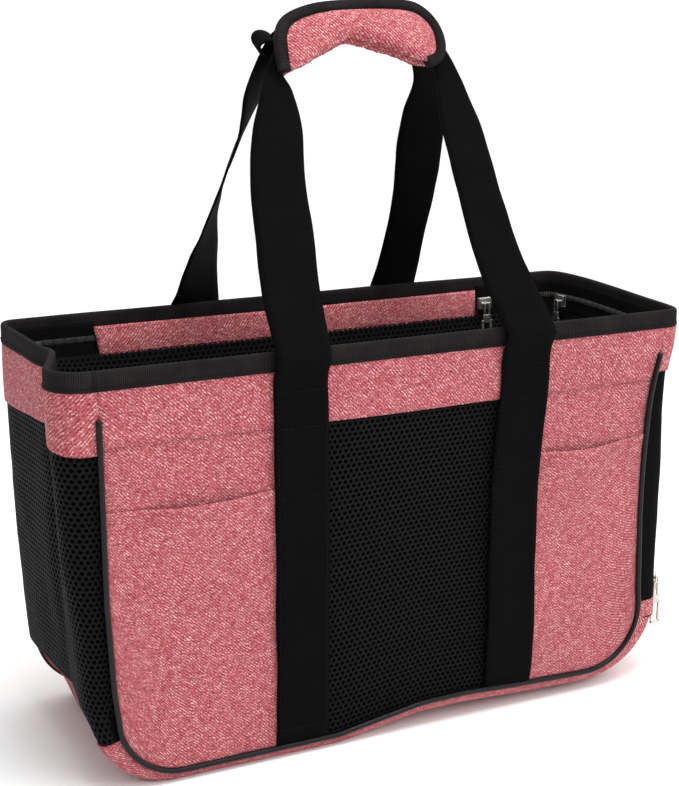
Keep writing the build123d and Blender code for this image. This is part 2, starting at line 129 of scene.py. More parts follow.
# ------------------------------------------------------------------ node helpers
class Nodes:
    """Builds one material's node tree."""

    def __init__(self, name):
        self.material = bpy.data.materials.new(name)
        self.material.use_nodes = True
        self.tree = self.material.node_tree
        self.shader = self.tree.nodes["Principled BSDF"]

    def add(self, kind, **settings):
        node = self.tree.nodes.new(kind)
        for key, value in settings.items():
            setattr(node, key, value)
        return node

    def link(self, source, target):
        self.tree.links.new(source, target)

    def put(self, value, socket):
        """Sets a socket to a number, or links it to another node's output."""
        if isinstance(value, (int, float)):
            socket.default_value = value
        else:
            self.link(value, socket)

    def maths(self, operation, a, b=0.0, c=0.0):
        node = self.add("ShaderNodeMath", operation=operation)
        self.put(a, node.inputs[0])
        self.put(b, node.inputs[1])
        self.put(c, node.inputs[2])
        return node.outputs[0]

    def times(self, a, b):
        return self.maths("MULTIPLY", a, b)

    def ribs(self, threads):
        """Round ridges, one for each thread."""
        return self.maths("ABSOLUTE", self.maths("SINE", self.times(threads, math.pi)))

    def split_uv(self, scale_u, scale_v):
        """The piece's own weave directions, counted in threads."""
        uv = self.add("ShaderNodeUVMap", uv_map="UVMap")
        split = self.add("ShaderNodeSeparateXYZ")
        self.link(uv.outputs[0], split.inputs[0])
        return self.times(split.outputs[0], scale_u), self.times(split.outputs[1], scale_v)

    def vector(self, x, y, z=0.0):
        node = self.add("ShaderNodeCombineXYZ")
        for value, socket in zip((x, y, z), node.inputs):
            self.put(value, socket)
        return node.outputs[0]

    def noise(self, vector, scale, detail=2.0, rough=0.5):
        node = self.add("ShaderNodeTexNoise")
        self.link(vector, node.inputs["Vector"])
        node.inputs["Scale"].default_value = scale
        node.inputs["Detail"].default_value = detail
        node.inputs["Roughness"].default_value = rough
        return node.outputs[0]

    def object_noise(self, scale, detail=2.0):
        place = self.add("ShaderNodeTexCoord")
        return self.noise(place.outputs["Object"], scale, detail)

    def ramp(self, value, stops):
        node = self.add("ShaderNodeValToRGB")
        self.link(value, node.inputs[0])
        elements = node.color_ramp.elements
        while len(elements) < len(stops):
            elements.new(0.5)
        for element, (position, colour) in zip(elements, stops):
            element.position = position
            element.color = (*colour, 1)
        return node.outputs[0]

    def mix(self, factor, a, b, blend="MIX"):
        node = self.add("ShaderNodeMix", data_type="RGBA", blend_type=blend)
        self.put(factor, node.inputs[0])
        for value, socket in ((a, node.inputs[6]), (b, node.inputs[7])):
            if isinstance(value, tuple):
                socket.default_value = (*value, 1)
            else:
                self.link(value, socket)
        return node.outputs[2]

    def bump(self, height, distance, strength=1.0):
        node = self.add("ShaderNodeBump")
        self.link(height, node.inputs["Height"])
        node.inputs["Distance"].default_value = distance
        node.inputs["Strength"].default_value = strength
        self.link(node.outputs[0], self.shader.inputs["Normal"])

    def finish(self, roughness, metallic=0.0, sheen=0.0, specular=0.5):
        self.shader.inputs["Roughness"].default_value = roughness
        self.shader.inputs["Metallic"].default_value = metallic
        self.shader.inputs["Sheen Weight"].default_value = sheen
        self.shader.inputs["Specular IOR Level"].default_value = specular
        return self.material

    def colour(self, value):
        self.put(value, self.shader.inputs["Base Color"])


# ------------------------------------------------------------------ materials
def linen_material():
    """Heathered twill: red and pale pink threads of uneven thickness."""
    n = Nodes("linen")
    u, v = n.split_uv(1 / THREAD, 1 / THREAD)
    wander = n.vector(n.times(u, 0.05), n.times(v, 0.05))
    u = n.maths("MULTIPLY_ADD", n.noise(wander, 1.0, 3), 7.0, u)
    v = n.maths("MULTIPLY_ADD", n.noise(n.vector(n.times(v, 0.05), u, 6.0), 0.2, 3), 5.0, v)
    warp_id, weft_id = n.maths("FLOOR", u), n.maths("FLOOR", v)
    warp = n.noise(n.vector(n.times(warp_id, 7.31), n.times(v, 0.13)), 1.0, 2)
    weft = n.noise(n.vector(n.times(weft_id, 5.17), n.times(u, 0.13), 4.0), 1.0, 2)
    over = n.maths("MODULO", n.maths("ADD", n.maths("ADD", warp_id, weft_id), 4000.0), 4.0)
    over = n.maths("LESS_THAN", over, 1.5)
    red = [(0.34, (0.22, 0.012, 0.024)), (0.50, (0.335, 0.042, 0.058)), (0.66, (0.54, 0.17, 0.18))]
    pale = [(0.34, (0.34, 0.060, 0.075)), (0.50, (0.50, 0.155, 0.168)), (0.66, (0.80, 0.50, 0.49))]
    threads = n.mix(over, n.ramp(warp, red), n.ramp(weft, pale))
    patches = n.ramp(n.object_noise(30.0, 3), [(0.3, (0.94, 0.92, 0.92)), (0.7, (1.02, 1.01, 1.01))])
    n.colour(n.mix(1.0, threads, patches, "MULTIPLY"))
    hill_u, hill_v = n.ribs(u), n.ribs(v)
    height = n.add("ShaderNodeMix", data_type="FLOAT")
    n.put(over, height.inputs[0])
    n.put(hill_u, height.inputs[2])
    n.put(hill_v, height.inputs[3])
    n.bump(height.outputs[0], 0.0003, 0.6)
    return n.finish(0.9, sheen=0.10, specular=0.12)


def ribbed_material(name, dark, light, pitch_u, pitch_v, depth, roughness, specular):
    """Black woven tape or webbing: crossed ribs of two pitches and a little worn variation."""
    n = Nodes(name)
    u, v = n.split_uv(1 / pitch_u, 1 / pitch_v)
    height = n.times(n.ribs(u), n.maths("ADD", n.times(n.ribs(v), 0.5), 0.5))
    worn = n.times(n.object_noise(60.0, 3), 0.6)
    tone = n.maths("ADD", n.times(height, 0.55), worn)
    n.colour(n.ramp(tone, [(0.2, dark), (0.95, light)]))
    n.bump(height, depth, 0.8)
    return n.finish(roughness, specular=specular)


def mesh_material():
    """The black yarn of a spacer mesh."""
    n = Nodes("spacer_mesh")
    u, v = n.split_uv(1 / 0.0009, 1 / 0.0009)
    knit = n.times(n.ribs(n.maths("ADD", u, v)), n.ribs(n.maths("SUBTRACT", u, v)))
    n.colour(n.ramp(knit, [(0.1, (0.0012, 0.0012, 0.0014)), (0.9, (0.0062, 0.0062, 0.0070))]))
    n.bump(knit, 0.0003, 0.8)
    return n.finish(0.65, specular=0.11)


def grainy_material(name, scale, detail, dark, light, depth, strength, roughness, high=0.7, **finish):
    """A fine noise that sets both the tone and the bumps: vinyl, metal, board, thread, brushed pile."""
    n = Nodes(name)
    grain = n.object_noise(scale, detail)
    n.colour(n.ramp(grain, [(0.3, dark), (high, light)]))
    n.bump(grain, depth, strength)
    return n.finish(roughness, **finish)


def plush_material():
    """Short dark pile."""
    n = Nodes("mat_plush")
    pile = n.object_noise(1400.0, 3)
    shade = n.object_noise(40.0, 3)
    tone = n.maths("ADD", n.times(pile, 0.6), n.times(shade, 0.4))
    n.colour(n.ramp(tone, [(0.3, (0.05, 0.05, 0.054)), (0.7, (0.13, 0.13, 0.14))]))
    n.bump(pile, 0.0009, 1.0)
    return n.finish(0.95, sheen=0.4, specular=0.15)


def floor_material():
    """Plain pale paper with a trace of unevenness."""
    n = Nodes("studio_floor")
    haze = n.object_noise(3.0, 2)
    n.colour(n.ramp(haze, [(0.3, (0.985, 0.985, 0.985)), (0.7, (0.99, 0.99, 0.99))]))
    return n.finish(0.9, specular=0.1)


MAT = {
    "linen": linen_material(),
    "webbing": ribbed_material(
        "webbing_weave", (0.0010, 0.0010, 0.0010), (0.0034, 0.0033, 0.0033),
        0.0011, 0.0018, 0.0003, 0.85, 0.05,
    ),
    "binding": ribbed_material(
        "binding_tape", (0.0008, 0.0007, 0.0007), (0.026, 0.0225, 0.0225),
        0.0012, 0.0014, 0.0004, 0.8, 0.05,
    ),
    "zip_tape": ribbed_material(
        "zip_tape_weave", (0.0010, 0.0010, 0.0010), (0.0036, 0.0036, 0.0038),
        0.0016, 0.0011, 0.0002, 0.85, 0.05,
    ),
    "zip_coil": ribbed_material(
        "coil_nylon", (0.008, 0.008, 0.0085), (0.060, 0.060, 0.064),
        0.0006, 0.0006, 0.0001, 0.5, 0.3,
    ),
    "mesh": mesh_material(),
    # Painted shade: a near-black sheet set behind each net. It stands in for the shaded inside of the bag
    # seen through the net's holes.
    "backing": grainy_material(
        "mesh_painted_shade", 900.0, 3, (0.0008, 0.0008, 0.0009), (0.0030, 0.0030, 0.0033),
        0.0006, 0.8, 0.95, specular=0.03,
    ),
    "piping": grainy_material(
        "piping_vinyl", 700.0, 3, (0.0030, 0.0030, 0.0032), (0.0090, 0.0088, 0.0088),
        0.0003, 0.4, 0.30, high=0.75, specular=0.20,
    ),
    "nickel": grainy_material(
        "nickel", 420.0, 4, (0.46, 0.44, 0.41), (0.66, 0.64, 0.61), 0.0001, 0.35, 0.24, metallic=0.92
    ),
    "board": grainy_material(
        "board_sheet", 300.0, 4, (0.05, 0.05, 0.052), (0.08, 0.08, 0.083), 0.0003, 0.4, 0.6
    ),
    "mat": plush_material(),
    "hook_loop": grainy_material(
        "hook_and_loop", 1900.0, 2, (0.002, 0.002, 0.002), (0.010, 0.010, 0.011),
        0.0007, 1.0, 0.9, specular=0.15,
    ),
    "black_thread": grainy_material(
        "black_thread", 1500.0, 2, (0.0015, 0.0015, 0.0015), (0.0060, 0.0060, 0.0062),
        0.0002, 0.6, 0.8, specular=0.15,
    ),
    "pink_thread": grainy_material(
        "pink_thread", 1500.0, 2, (0.40, 0.09, 0.11), (0.60, 0.20, 0.22), 0.0002, 0.6, 0.8, specular=0.15
    ),
}
SLOT = {"backing": "mesh", "black_thread": "webbing", "pink_thread": "linen"}


# ------------------------------------------------------------------ mesh helpers
def show(name, data, material):
    """Puts a mesh with its material in the scene."""
    piece = bpy.data.objects.new(name, data)
    bpy.context.scene.collection.objects.link(piece)
    data.materials.append(material)
    return piece


def add_piece(name, verts, faces, uvs, material, body, replaces=(), thick=0.0):
    """Makes one piece from vertices, faces and one UV per vertex, and lets it ride on a body."""
    data = bpy.data.meshes.new(name)
    data.from_pydata([tuple(v) for v in verts], [], faces)
    layer = data.uv_layers.new(name="UVMap")
    if uvs is not None:
        flat = np.array(uvs, np.float32)
        index = np.zeros(len(data.loops), np.int32)
        data.loops.foreach_get("vertex_index", index)
        layer.data.foreach_set("uv", flat[index].ravel())
    data.validate()
    data.polygons.foreach_set("use_smooth", [True] * len(data.polygons))
    piece = show(name, data, MAT[material])
    if thick:
        shell = piece.modifiers.new("thickness", "SOLIDIFY")
        shell.thickness = thick
        shell.offset = 0.0
    if body:
        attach(piece, body)
    SLOT.get(material, material)
    if replaces:
        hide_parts(*replaces)
    return piece


def grid_faces(rows, columns, wrap=False):
    """Quads over a grid stored row by row; wrap joins the last column to the first."""
    faces = []
    last = columns if wrap else columns - 1
    for i in range(rows - 1):
        for j in range(last):
            k = (j + 1) % columns
            faces.append((i * columns + j, i * columns + k, (i + 1) * columns + k, (i + 1) * columns + j))
    return faces


def cloth_patch(name, place, s_count, t_count, size, material, body, replaces=(), thick=0.0012, keep=None):
    """A piece of cloth: place(s, t) gives its point for s and t from 0 to 1."""
    verts, uvs = [], []
    for s in np.linspace(0, 1, s_count):
        for t in np.linspace(0, 1, t_count):
            verts.append(place(s, t))
            uvs.append((s * size[0], t * size[1]))
    faces = grid_faces(s_count, t_count)
    if keep:
        faces = [f for f in faces if keep(sum((Vector(verts[i]) for i in f), Vector()) / 4)]
    return add_piece(name, verts, faces, uvs, material, body, replaces, thick)


def sweep(name, line, section, material, body, replaces=(), closed=False, up=Vector((0, 0, 1))):
    """Sweeps a section (pairs: sideways, along up) along a line of points."""
    line = [Vector(p) for p in line]
    count, width = len(line), len(section)
    around = np.cumsum([0] + [math.dist(section[i], section[(i + 1) % width]) for i in range(width)])
    verts, uvs, run = [], [], 0.0
    for i, p in enumerate(line):
        before = line[i - 1] if closed or i else p
        after = line[(i + 1) % count] if closed or i + 1 < count else p
        along = (after - before).normalized()
        side = along.cross(up).normalized()
        lift = side.cross(along).normalized()
        if i:
            run += (p - line[i - 1]).length
        for k, (a, b) in enumerate(section):
            verts.append(p + side * a + lift * b)
            uvs.append((run, around[k]))
    faces = grid_faces(count, width, wrap=True)
    if closed:
        tail = (count - 1) * width
        for k in range(width):
            faces.append((tail + k, tail + (k + 1) % width, (k + 1) % width, k))
    else:
        faces.append(tuple(reversed(range(width))))
        faces.append(tuple((count - 1) * width + k for k in range(width)))
    return add_piece(name, verts, faces, uvs, material, body, replaces)


def round_section(radius, sides=10):
    return [
        (radius * math.cos(2 * math.pi * k / sides), radius * math.sin(2 * math.pi * k / sides))
        for k in range(sides)
    ]


def stitch_rows(name, rows, material, body, pitch=0.0032, length=0.0022, radius=0.00032):
    """Rows of short raised stitches. Each row is a list of points on the cloth."""
    verts, faces = [], []
    for row in rows:
        total, at = measured(row)
        for i in range(int(total / pitch)):
            middle = (i + 0.5) * pitch
            ends = [at(middle + step) for step in (-length / 2, 0, length / 2)]
            along = (ends[2] - ends[0]).normalized()
            side = along.orthogonal().normalized()
            other = along.cross(side)
            first = len(verts)
            for place, size in zip(ends, (0.45, 1.0, 0.45)):
                for k in range(5):
                    turn = 2 * math.pi * k / 5
                    verts.append(place + (side * math.cos(turn) + other * math.sin(turn)) * radius * size)
            for ring in range(2):
                for k in range(5):
                    a, b = first + ring * 5 + k, first + ring * 5 + (k + 1) % 5
                    faces.append((a, b, b + 5, a + 5))
            faces.append(tuple(first + 4 - k for k in range(5)))
            faces.append(tuple(first + 10 + k for k in range(5)))
    return add_piece(name, verts, faces, [(0.0, 0.0)] * len(verts), material, body)


def hex_net(name, place, size, pitch, body, replaces, inside=None, hole=0.60, thick=0.0009):
    """A knitted net with hexagonal holes laid over place(s, t); size is the patch's width and height."""
    width, height = size
    radius = pitch / math.sqrt(3)
    row_step = 1.5 * radius
    verts, uvs, faces, index = [], [], [], {}

    def vertex(a, b):
        key = (round(a * 1e5), round(b * 1e5))
        if key not in index:
            s, t = min(max(a / width, 0), 1), min(max(b / height, 0), 1)
            index[key] = len(verts)
            verts.append(place(s, t))
            uvs.append((a, b))
        return index[key]

    rows = int(height / row_step) + 2
    columns = int(width / pitch) + 2
    for row in range(rows):
        for column in range(columns):
            a = (column + 0.5 * (row % 2)) * pitch
            b = row * row_step
            if inside and not inside(a / width, b / height):
                continue
            outer, inner = [], []
            for k in range(6):
                turn = math.pi / 6 + k * math.pi / 3
                x, y = math.cos(turn) * radius, math.sin(turn) * radius
                outer.append(vertex(a + x, b + y))
                inner.append(vertex(a + x * hole, b + y * hole))
            for k in range(6):
                j = (k + 1) % 6
                faces.append((outer[k], outer[j], inner[j], inner[k]))
    faces = [f for f in faces if len(set(f)) == 4]
    return add_piece(name, verts, faces, uvs, "mesh", body, replaces, thick)


# ------------------------------------------------------------------ the shape of the bag's walls
# Seams between the front (or back) wall and the end gussets: height, then x of each seam.
SEAM_Z = (0.043, 0.072, 0.130, 0.160, 0.200, 0.230, 0.249, 0.263, 0.277)
SEAM_LEFT = (-0.2095, -0.2120, -0.2150, -0.2152, -0.2155, -0.2158, -0.216, -0.216, -0.216)
SEAM_RIGHT = (0.1945, 0.1935, 0.1922, 0.1928, 0.1955, 0.1998, 0.206, 0.208, 0.209)
# Height of the bottom seam along the bag: the base rises a little in its middle.
FOOT_X = (-0.190, -0.053, -0.025, 0.012, 0.046, 0.096, 0.140, 0.165)
FOOT_Z = (0.0070, 0.0075, 0.0120, 0.0175, 0.0180, 0.0155, 0.0140, 0.0140)


def seam_x(end, z):
    return float(np.interp(z, SEAM_Z, SEAM_LEFT if end < 0 else SEAM_RIGHT))


def foot_z(x):
    return float(np.interp(x, FOOT_X, FOOT_Z))


LEFT_FOOT = seam_x(-1, FOOT_RADIUS)
RIGHT_FOOT = seam_x(1, FOOT_RADIUS)


def wall_foot(x):
    """The lowest point of the front or back wall at x, with its rounded corners."""
    inset = min(x - LEFT_FOOT, RIGHT_FOOT - x)
    if inset >= FOOT_RADIUS:
        return foot_z(x)
    reach = FOOT_RADIUS - max(inset, 0.0)
    return foot_z(x) + FOOT_RADIUS - math.sqrt(FOOT_RADIUS**2 - reach**2)


def wall_point(side, x, z, lift=0.0):
    """A point on the front (side -1) or back (side 1) wall. x is measured at the foot."""
    u = (x - LEFT_FOOT) / (RIGHT_FOOT - LEFT_FOOT)
    spread = (1 - u) * (seam_x(-1, z) - LEFT_FOOT) + u * (seam_x(1, z) - RIGHT_FOOT)
    belly = 0.0022 * math.sin(math.pi * min(max(u, 0), 1)) * math.sin(math.pi * min(z / RIM_TOP, 1))
    folds = 0.0016 * ripple(x, z * 0.6, 13, side) + 0.0006 * ripple(x, z, 42, side * 3)
    edge = smooth(min(u, 1 - u) * 8) * smooth((RIM_TOP - z) * 30)
    return Vector((x + spread, side * (WALL_Y + belly + folds * edge + lift), z))


def across(y_half):
    """Even steps over the gusset's rounded section: list of (y, share of the offset)."""
    turn = np.linspace(0, math.pi, 400)
    power = 2 / 5.0
    y = -y_half * np.sign(np.cos(turn)) * np.abs(np.cos(turn)) ** power
    rise = np.abs(np.sin(turn)) ** power
    run = np.concatenate([[0], np.cumsum(np.hypot(np.diff(y), np.diff(rise * 0.02)))])
    return run / run[-1], y, rise


GUSSET_RUN, GUSSET_Y, GUSSET_RISE = across(WALL_Y)


def gusset_section(v):
    return float(np.interp(v, GUSSET_RUN, GUSSET_Y)), float(np.interp(v, GUSSET_RUN, GUSSET_RISE))


def gusset_v(y):
    """The share of the way round the gusset at which it stands at y."""
    return float(np.interp(y, GUSSET_Y, GUSSET_RUN))


def left_offset(y, z):
    """How far the left end stands out from its seams: it flares at the front corner and creases inward."""
    top = 0.0105 + 0.0165 * bell(y, -0.066, 0.024) + 0.0025 * bell(y, 0.070, 0.030)
    foot = 0.0085 + 0.0090 * bell(y, -0.070, 0.030)
    crease = 0.0045 * bell(y, -0.016, 0.009)
    t = smooth(z, 0.02, 0.27)
    return lerp(foot, top, t) - crease * lerp(0.3, 1.0, t)


def right_offset(y, z):
    """How far the right end stands out from its seams: it bulges in the middle of its height."""
    rim = 0.0165 + 0.003 * bell(y, 0.02, 0.05)
    middle = 0.0275
    foot = 0.0240
    if z > 0.15:
        return lerp(middle, rim, smooth(z, 0.15, 0.265))
    return lerp(foot, middle, smooth(z, 0.04, 0.15))


def end_point(end, v, z, lift=0.0):
    """A point on the left (end -1) or right (end 1) end above the foot curve."""
    y, rise = gusset_section(v)
    offset = left_offset(y, z) if end < 0 else right_offset(y, z)
    folds = 0.0012 * ripple(y, z * 0.5, 22, 20 + end) + 0.0005 * ripple(y, z, 60, 30 + end)
    folds *= smooth((RIM_TOP - z) * 40)
    x = seam_x(end, z) + end * (offset + folds + lift) * rise
    if abs(y) > WALL_Y - 0.012:
        y += lift * math.copysign(1, y)
    return Vector((x, y, z))


LEFT_CENTRE = Vector((LEFT_FOOT + FOOT_RADIUS, 0, foot_z(LEFT_FOOT) + FOOT_RADIUS))
RIGHT_CENTRE = Vector((RIGHT_FOOT - FOOT_RADIUS, 0, foot_z(RIGHT_FOOT) + FOOT_RADIUS))
ARC = FOOT_RADIUS * math.pi / 2
FLAT = RIGHT_CENTRE.x - LEFT_CENTRE.x
UNDER = 2 * ARC + FLAT


def foot_seam(w):
    """The seam under the bag at w from 0 (left end) to 1 (right end): point and outward direction."""
    run = w * UNDER
    if run < ARC:
        turn = math.pi + run / FOOT_RADIUS
        out = Vector((math.cos(turn), 0, math.sin(turn)))
        return LEFT_CENTRE + out * FOOT_RADIUS, out
    if run > ARC + FLAT:
        turn = 1.5 * math.pi + (run - ARC - FLAT) / FOOT_RADIUS
        out = Vector((math.cos(turn), 0, math.sin(turn)))
        return RIGHT_CENTRE + out * FOOT_RADIUS, out
    x = LEFT_CENTRE.x + run - ARC
    return Vector((x, 0, foot_z(x))), Vector((0, 0, -1))


def under_point(w, v, lift=0.0):
    """A point on the strip that runs under the bag, from the foot of one end to the other."""
    p, out = foot_seam(w)
    y, rise = gusset_section(v)
    left = left_offset(y, LEFT_CENTRE.z)
    right = right_offset(y, RIGHT_CENTRE.z)
    sole = 0.0120 + 0.0065 * min(max((WALL_Y - abs(y) - 0.006) / 0.045, 0.0), 1.0)
    start, stop = ARC / UNDER, 1 - ARC / UNDER
    if w < start:
        tuck = 0.016 * math.sin(math.pi * min(w / start / 0.74, 1.0)) * smooth(y, -0.078, -0.050)
        offset = lerp(left, sole, smooth(w / start)) - tuck
    elif w > stop:
        offset = lerp(sole, right, smooth((w - stop) / (1 - stop)))
    else:
        offset = sole
    q = p + out * (offset + lift) * rise
    return Vector((q.x, y, max(q.z, 0.0002)))


# ------------------------------------------------------------------ front and back walls
LEFT_STRAP_X = (-0.100, -0.062)     # edges of the left sewn strap, which is upright
RIGHT_STRAP_TOP = 0.090             # its middle line at the rim and at the foot
RIGHT_STRAP_FOOT = 0.081
LEFT_STRAP_MIDDLE = sum(LEFT_STRAP_X) / 2


def true_x(x, z):
    """The foot position whose wall point lands at x at height z."""
    guess = x
    for _ in range(4):
        guess += x - wall_point(-1, guess, z).x
    return guess


def strap_middle(hand, z, side):
    """The middle line of a sewn strap; the front right one leans a little."""
    if hand == "left":
        return LEFT_STRAP_MIDDLE
    if side > 0:
        return RIGHT_STRAP_FOOT
    return lerp(RIGHT_STRAP_FOOT, RIGHT_STRAP_TOP, smooth(z, 0.14, 0.27))


def wall_cloth(
    name, side, x0, x1, z_top, material, replaces, lift=0.0, z_low=None, counts=(30, 48), thick=0.0012
):
    """A cloth panel of the wall from its foot, or z_low, up to z_top."""
    def place(s, t):
        x = lerp(x0, x1, s)
        low = wall_foot(x) if z_low is None else max(z_low, wall_foot(x))
        return wall_point(side, x, lerp(low, z_top, t), lift)
    size = (x1 - x0, z_top - (z_low or 0.0))
    return cloth_patch(name, place, *counts, size, material, "root", replaces, thick)


def pocket_cloth(name, side, x0, x1, replaces):
    """A slip pocket: it lies against the wall and stands off it a little along its open top."""
    def place(s, t):
        x = lerp(x0, x1, s)
        low = wall_foot(x) + 0.001
        sag = 0.0022 * math.sin(math.pi * s) + 0.0008 * ripple(x, 0, 30, side * 5)
        top = POCKET_TOP - sag
        z = lerp(low, top, t)
        gape = smooth(t, 0.72, 1.0) * smooth(min(x - x0, x1 - x), 0.016, 0.050)
        edge = 0.0008 * smooth(t, 0.955, 0.985)
        lift = 0.0011 + 0.0042 * gape + edge + 0.0007 * ripple(x, z, 24, side * 7)
        return wall_point(side, x, z, lift)
    size = (x1 - x0, POCKET_TOP)
    return cloth_patch(name, place, 44, 90, size, "linen", "root", replaces, 0.0012)


POCKET_INSET = 0.001
STRAP_LIFT = 0.0038
STITCH_LIFT = 0.0047        # stitches on the straps, out from the wall
CROSS_STITCHES = (0.250, 0.226, 0.180, 0.020)


def point_at(side, x, z, lift):
    """The point of the wall that stands at x itself, whatever the spread of its seams."""
    return Vector((x, wall_point(side, true_x(x, z), z, lift).y, z))


def strap_point(side, x, z):
    """A point on the face of a sewn strap, which climbs over the rim binding at its top."""
    rim = 0.0040 * smooth(z, BAND_TOP - 0.006, BAND_TOP + 0.002)
    foot = 0.0026 * (1 - smooth(z - wall_foot(x), 0.002, 0.014))
    return point_at(side, x, z, STRAP_LIFT + rim - foot)


def strap_rows(side, hand):
    """The sewn strap from its foot up to the rim: its outer and inner edge at each height."""
    rows = []
    low = wall_foot(strap_middle(hand, 0, side)) + 0.0004
    for z in np.linspace(low, RIM_TOP - 0.001, 34):
        middle = strap_middle(hand, z, side) + 0.0010 * ripple(z, side, 26, 95)
        out = -STRAP_HALF if hand == "left" else STRAP_HALF
        outer = strap_point(side, middle + out, max(z, wall_foot(middle + out)))
        inner = strap_point(side, middle - out, max(z, wall_foot(middle - out)))
        rows.append((tuple(outer), tuple(inner)))
    return rows


def build_wall(side, wall):
    """Everything sewn to the front (side -1) or back (side 1) wall."""
    mesh_left, mesh_right = LEFT_STRAP_MIDDLE, RIGHT_STRAP_FOOT
    join = BAND_FOOT + 0.002
    spans = {"left": (LEFT_FOOT, mesh_left), "right": (mesh_right, RIGHT_FOOT)}
    for hand, (x0, x1) in spans.items():
        name = f"{wall}_panel_{hand}"
        wall_cloth(name + "_cloth", side, x0, x1, join, "linen", [name])
    for hand, (x0, x1) in spans.items():
        name = f"{wall}_pocket_{hand}"
        inset = (POCKET_INSET, 0) if hand == "left" else (0, POCKET_INSET)
        pocket_cloth(name + "_cloth", side, x0 + inset[0], x1 - inset[1], [name])
    wall_cloth(
        f"{wall}_band_cloth", side, LEFT_FOOT, RIGHT_FOOT, BAND_TOP + 0.004, "linen",
        [f"{wall}_window_band"], 0.0009, BAND_FOOT - 0.001, (90, 14), 0.0014,
    )
    window = (mesh_left - 0.004, mesh_right + 0.004)
    height = BAND_FOOT + 0.004

    def net_place(s, t):
        x = lerp(*window, s)
        low = wall_foot(x)
        return wall_point(side, x, lerp(low, height, t), -0.0006)

    hex_net(
        f"{wall}_window_net", net_place, (window[1] - window[0], height - 0.012), NET_PITCH, "root",
        [f"{wall}_mesh_window"],
    )
    # Painted shade: a near-black sheet behind the window's net, standing for the shaded inside seen through
    # its holes.
    wall_cloth(
        f"{wall}_window_backing", side, *window, height, "backing", [], -0.0026, None, (30, 40), 0.0010
    )
    build_piping(side, wall)
    build_wall_stitches(side, wall)


PIPING_TOP = 0.246
PIPING_RADIUS = 0.0019
PIPING_OUT = 0.0028


def build_piping(side, wall):
    """The corded seam down one end, under the wall and up the other end."""
    y = side * (WALL_Y + PIPING_OUT)
    line = [(seam_x(-1, z), y, z) for z in np.linspace(PIPING_TOP, LEFT_CENTRE.z + 0.002, 40)]
    for w in np.linspace(0, 1, 150):
        p, _ = foot_seam(w)
        line.append((p.x, y, p.z))
    line += [(seam_x(1, z), y, z) for z in np.linspace(RIGHT_CENTRE.z + 0.002, PIPING_TOP, 40)]
    line = spline(line[::4] + [line[-1]], 260)
    sweep(
        f"{wall}_piping_cord", line, round_section(PIPING_RADIUS), "piping", "root",
        [f"{wall}_piping"], up=Vector((0, 1, 0)),
    )


def build_wall_stitches(side, wall):
    """Pink rows on the pockets and the band, black rows round and across the straps."""
    pink, black = [], []
    left_span = (LEFT_FOOT + 0.004, LEFT_STRAP_X[0])
    right_span = (RIGHT_STRAP_FOOT + STRAP_HALF, RIGHT_FOOT - 0.004)
    for x0, x1 in (left_span, right_span):
        xs = np.linspace(x0, x1, 40)
        pink.append([wall_point(side, x, POCKET_TOP - 0.009, 0.0042) for x in xs])
    xs = np.linspace(LEFT_FOOT + 0.003, RIGHT_FOOT - 0.003, 120)
    pink.append([wall_point(side, x, BAND_FOOT + 0.0012, 0.0019) for x in xs])
    for hand in ("left", "right"):
        for edge in (-1, 1):
            row = []
            for z in np.linspace(0.016, BAND_TOP - 0.004, 80):
                x = strap_middle(hand, z, side) + edge * (STRAP_HALF - 0.0022)
                row.append(point_at(side, x, z, STITCH_LIFT))
            black.append(row)
        for z in CROSS_STITCHES:
            middle = strap_middle(hand, z, side)
            xs = np.linspace(middle - STRAP_HALF + 0.003, middle + STRAP_HALF - 0.003, 14)
            black.append([point_at(side, x, z, STITCH_LIFT) for x in xs])
    stitch_rows(f"{wall}_pink_stitches", pink, "pink_thread", "root")
    stitch_rows(f"{wall}_black_stitches", black, "black_thread", "root")


# ------------------------------------------------------------------ ends and base
GIRTH = 0.19                # length of an end from seam to seam
BAND_WIDTH = 0.036


def right_cloth(name, z0, z1, material, replaces, v0=0.0, v1=1.0, lift=0.0, counts=(70, 16)):
    """A cloth piece on the right end, between two heights and two shares of the way round."""
    def place(s, t):
        return end_point(1, lerp(v0, v1, s), lerp(z0, z1, t), lift)
    return cloth_patch(name, place, *counts, (GIRTH * (v1 - v0), z1 - z0), material, "root", replaces)


def scallop(v, z):
    """The left end's top band is lower towards its front corner."""
    y, _ = gusset_section(v)
    return z + 0.005 * smooth(y, -0.085, -0.05) - 0.002 * smooth(y, -0.03, 0.06)


NET_TURN = 0.017            # how far the left end's net runs down into the curve
FOOT_BAND = 0.010


def build_left_end():
    """The top band, the net with a painted-shade sheet behind it, and the foot band below it."""
    def band(s, t):
        low = scallop(s, BAND_FOOT - 0.0045)
        return end_point(-1, s, lerp(low, BAND_TOP + 0.004, t), 0.0008)

    size = (GIRTH, BAND_WIDTH)
    cloth_patch("left_top_band_cloth", band, 80, 16, size, "linen", "root", ["left_top_band"], 0.0014)
    height = BAND_FOOT + 0.002 - LEFT_CENTRE.z + NET_TURN

    def skin(s, t, lift):
        climb = t * height - NET_TURN
        if climb < 0:
            return under_point(-climb / UNDER, s, lift)
        return end_point(-1, s, LEFT_CENTRE.z + climb, lift)

    size = (GIRTH, height)
    hex_net("left_end_net", lambda s, t: skin(s, t, -0.0004), size, NET_PITCH, "root", ["left_mesh"])
    # Painted shade: a near-black sheet under the net, standing for the shaded inside seen through its
    # holes.
    cloth_patch(
        "left_end_shade_sheet", lambda s, t: skin(s, t, -0.0024), 60, 60, size, "backing", "root", thick=0.001
    )

    def foot_band(s, t):
        return under_point((NET_TURN - 0.001 + FOOT_BAND * t) / UNDER, s, 0.0006)

    size = (GIRTH, FOOT_BAND)
    cloth_patch("left_base_band_cloth", foot_band, 70, 5, size, "linen", "root", ["left_base_band"])


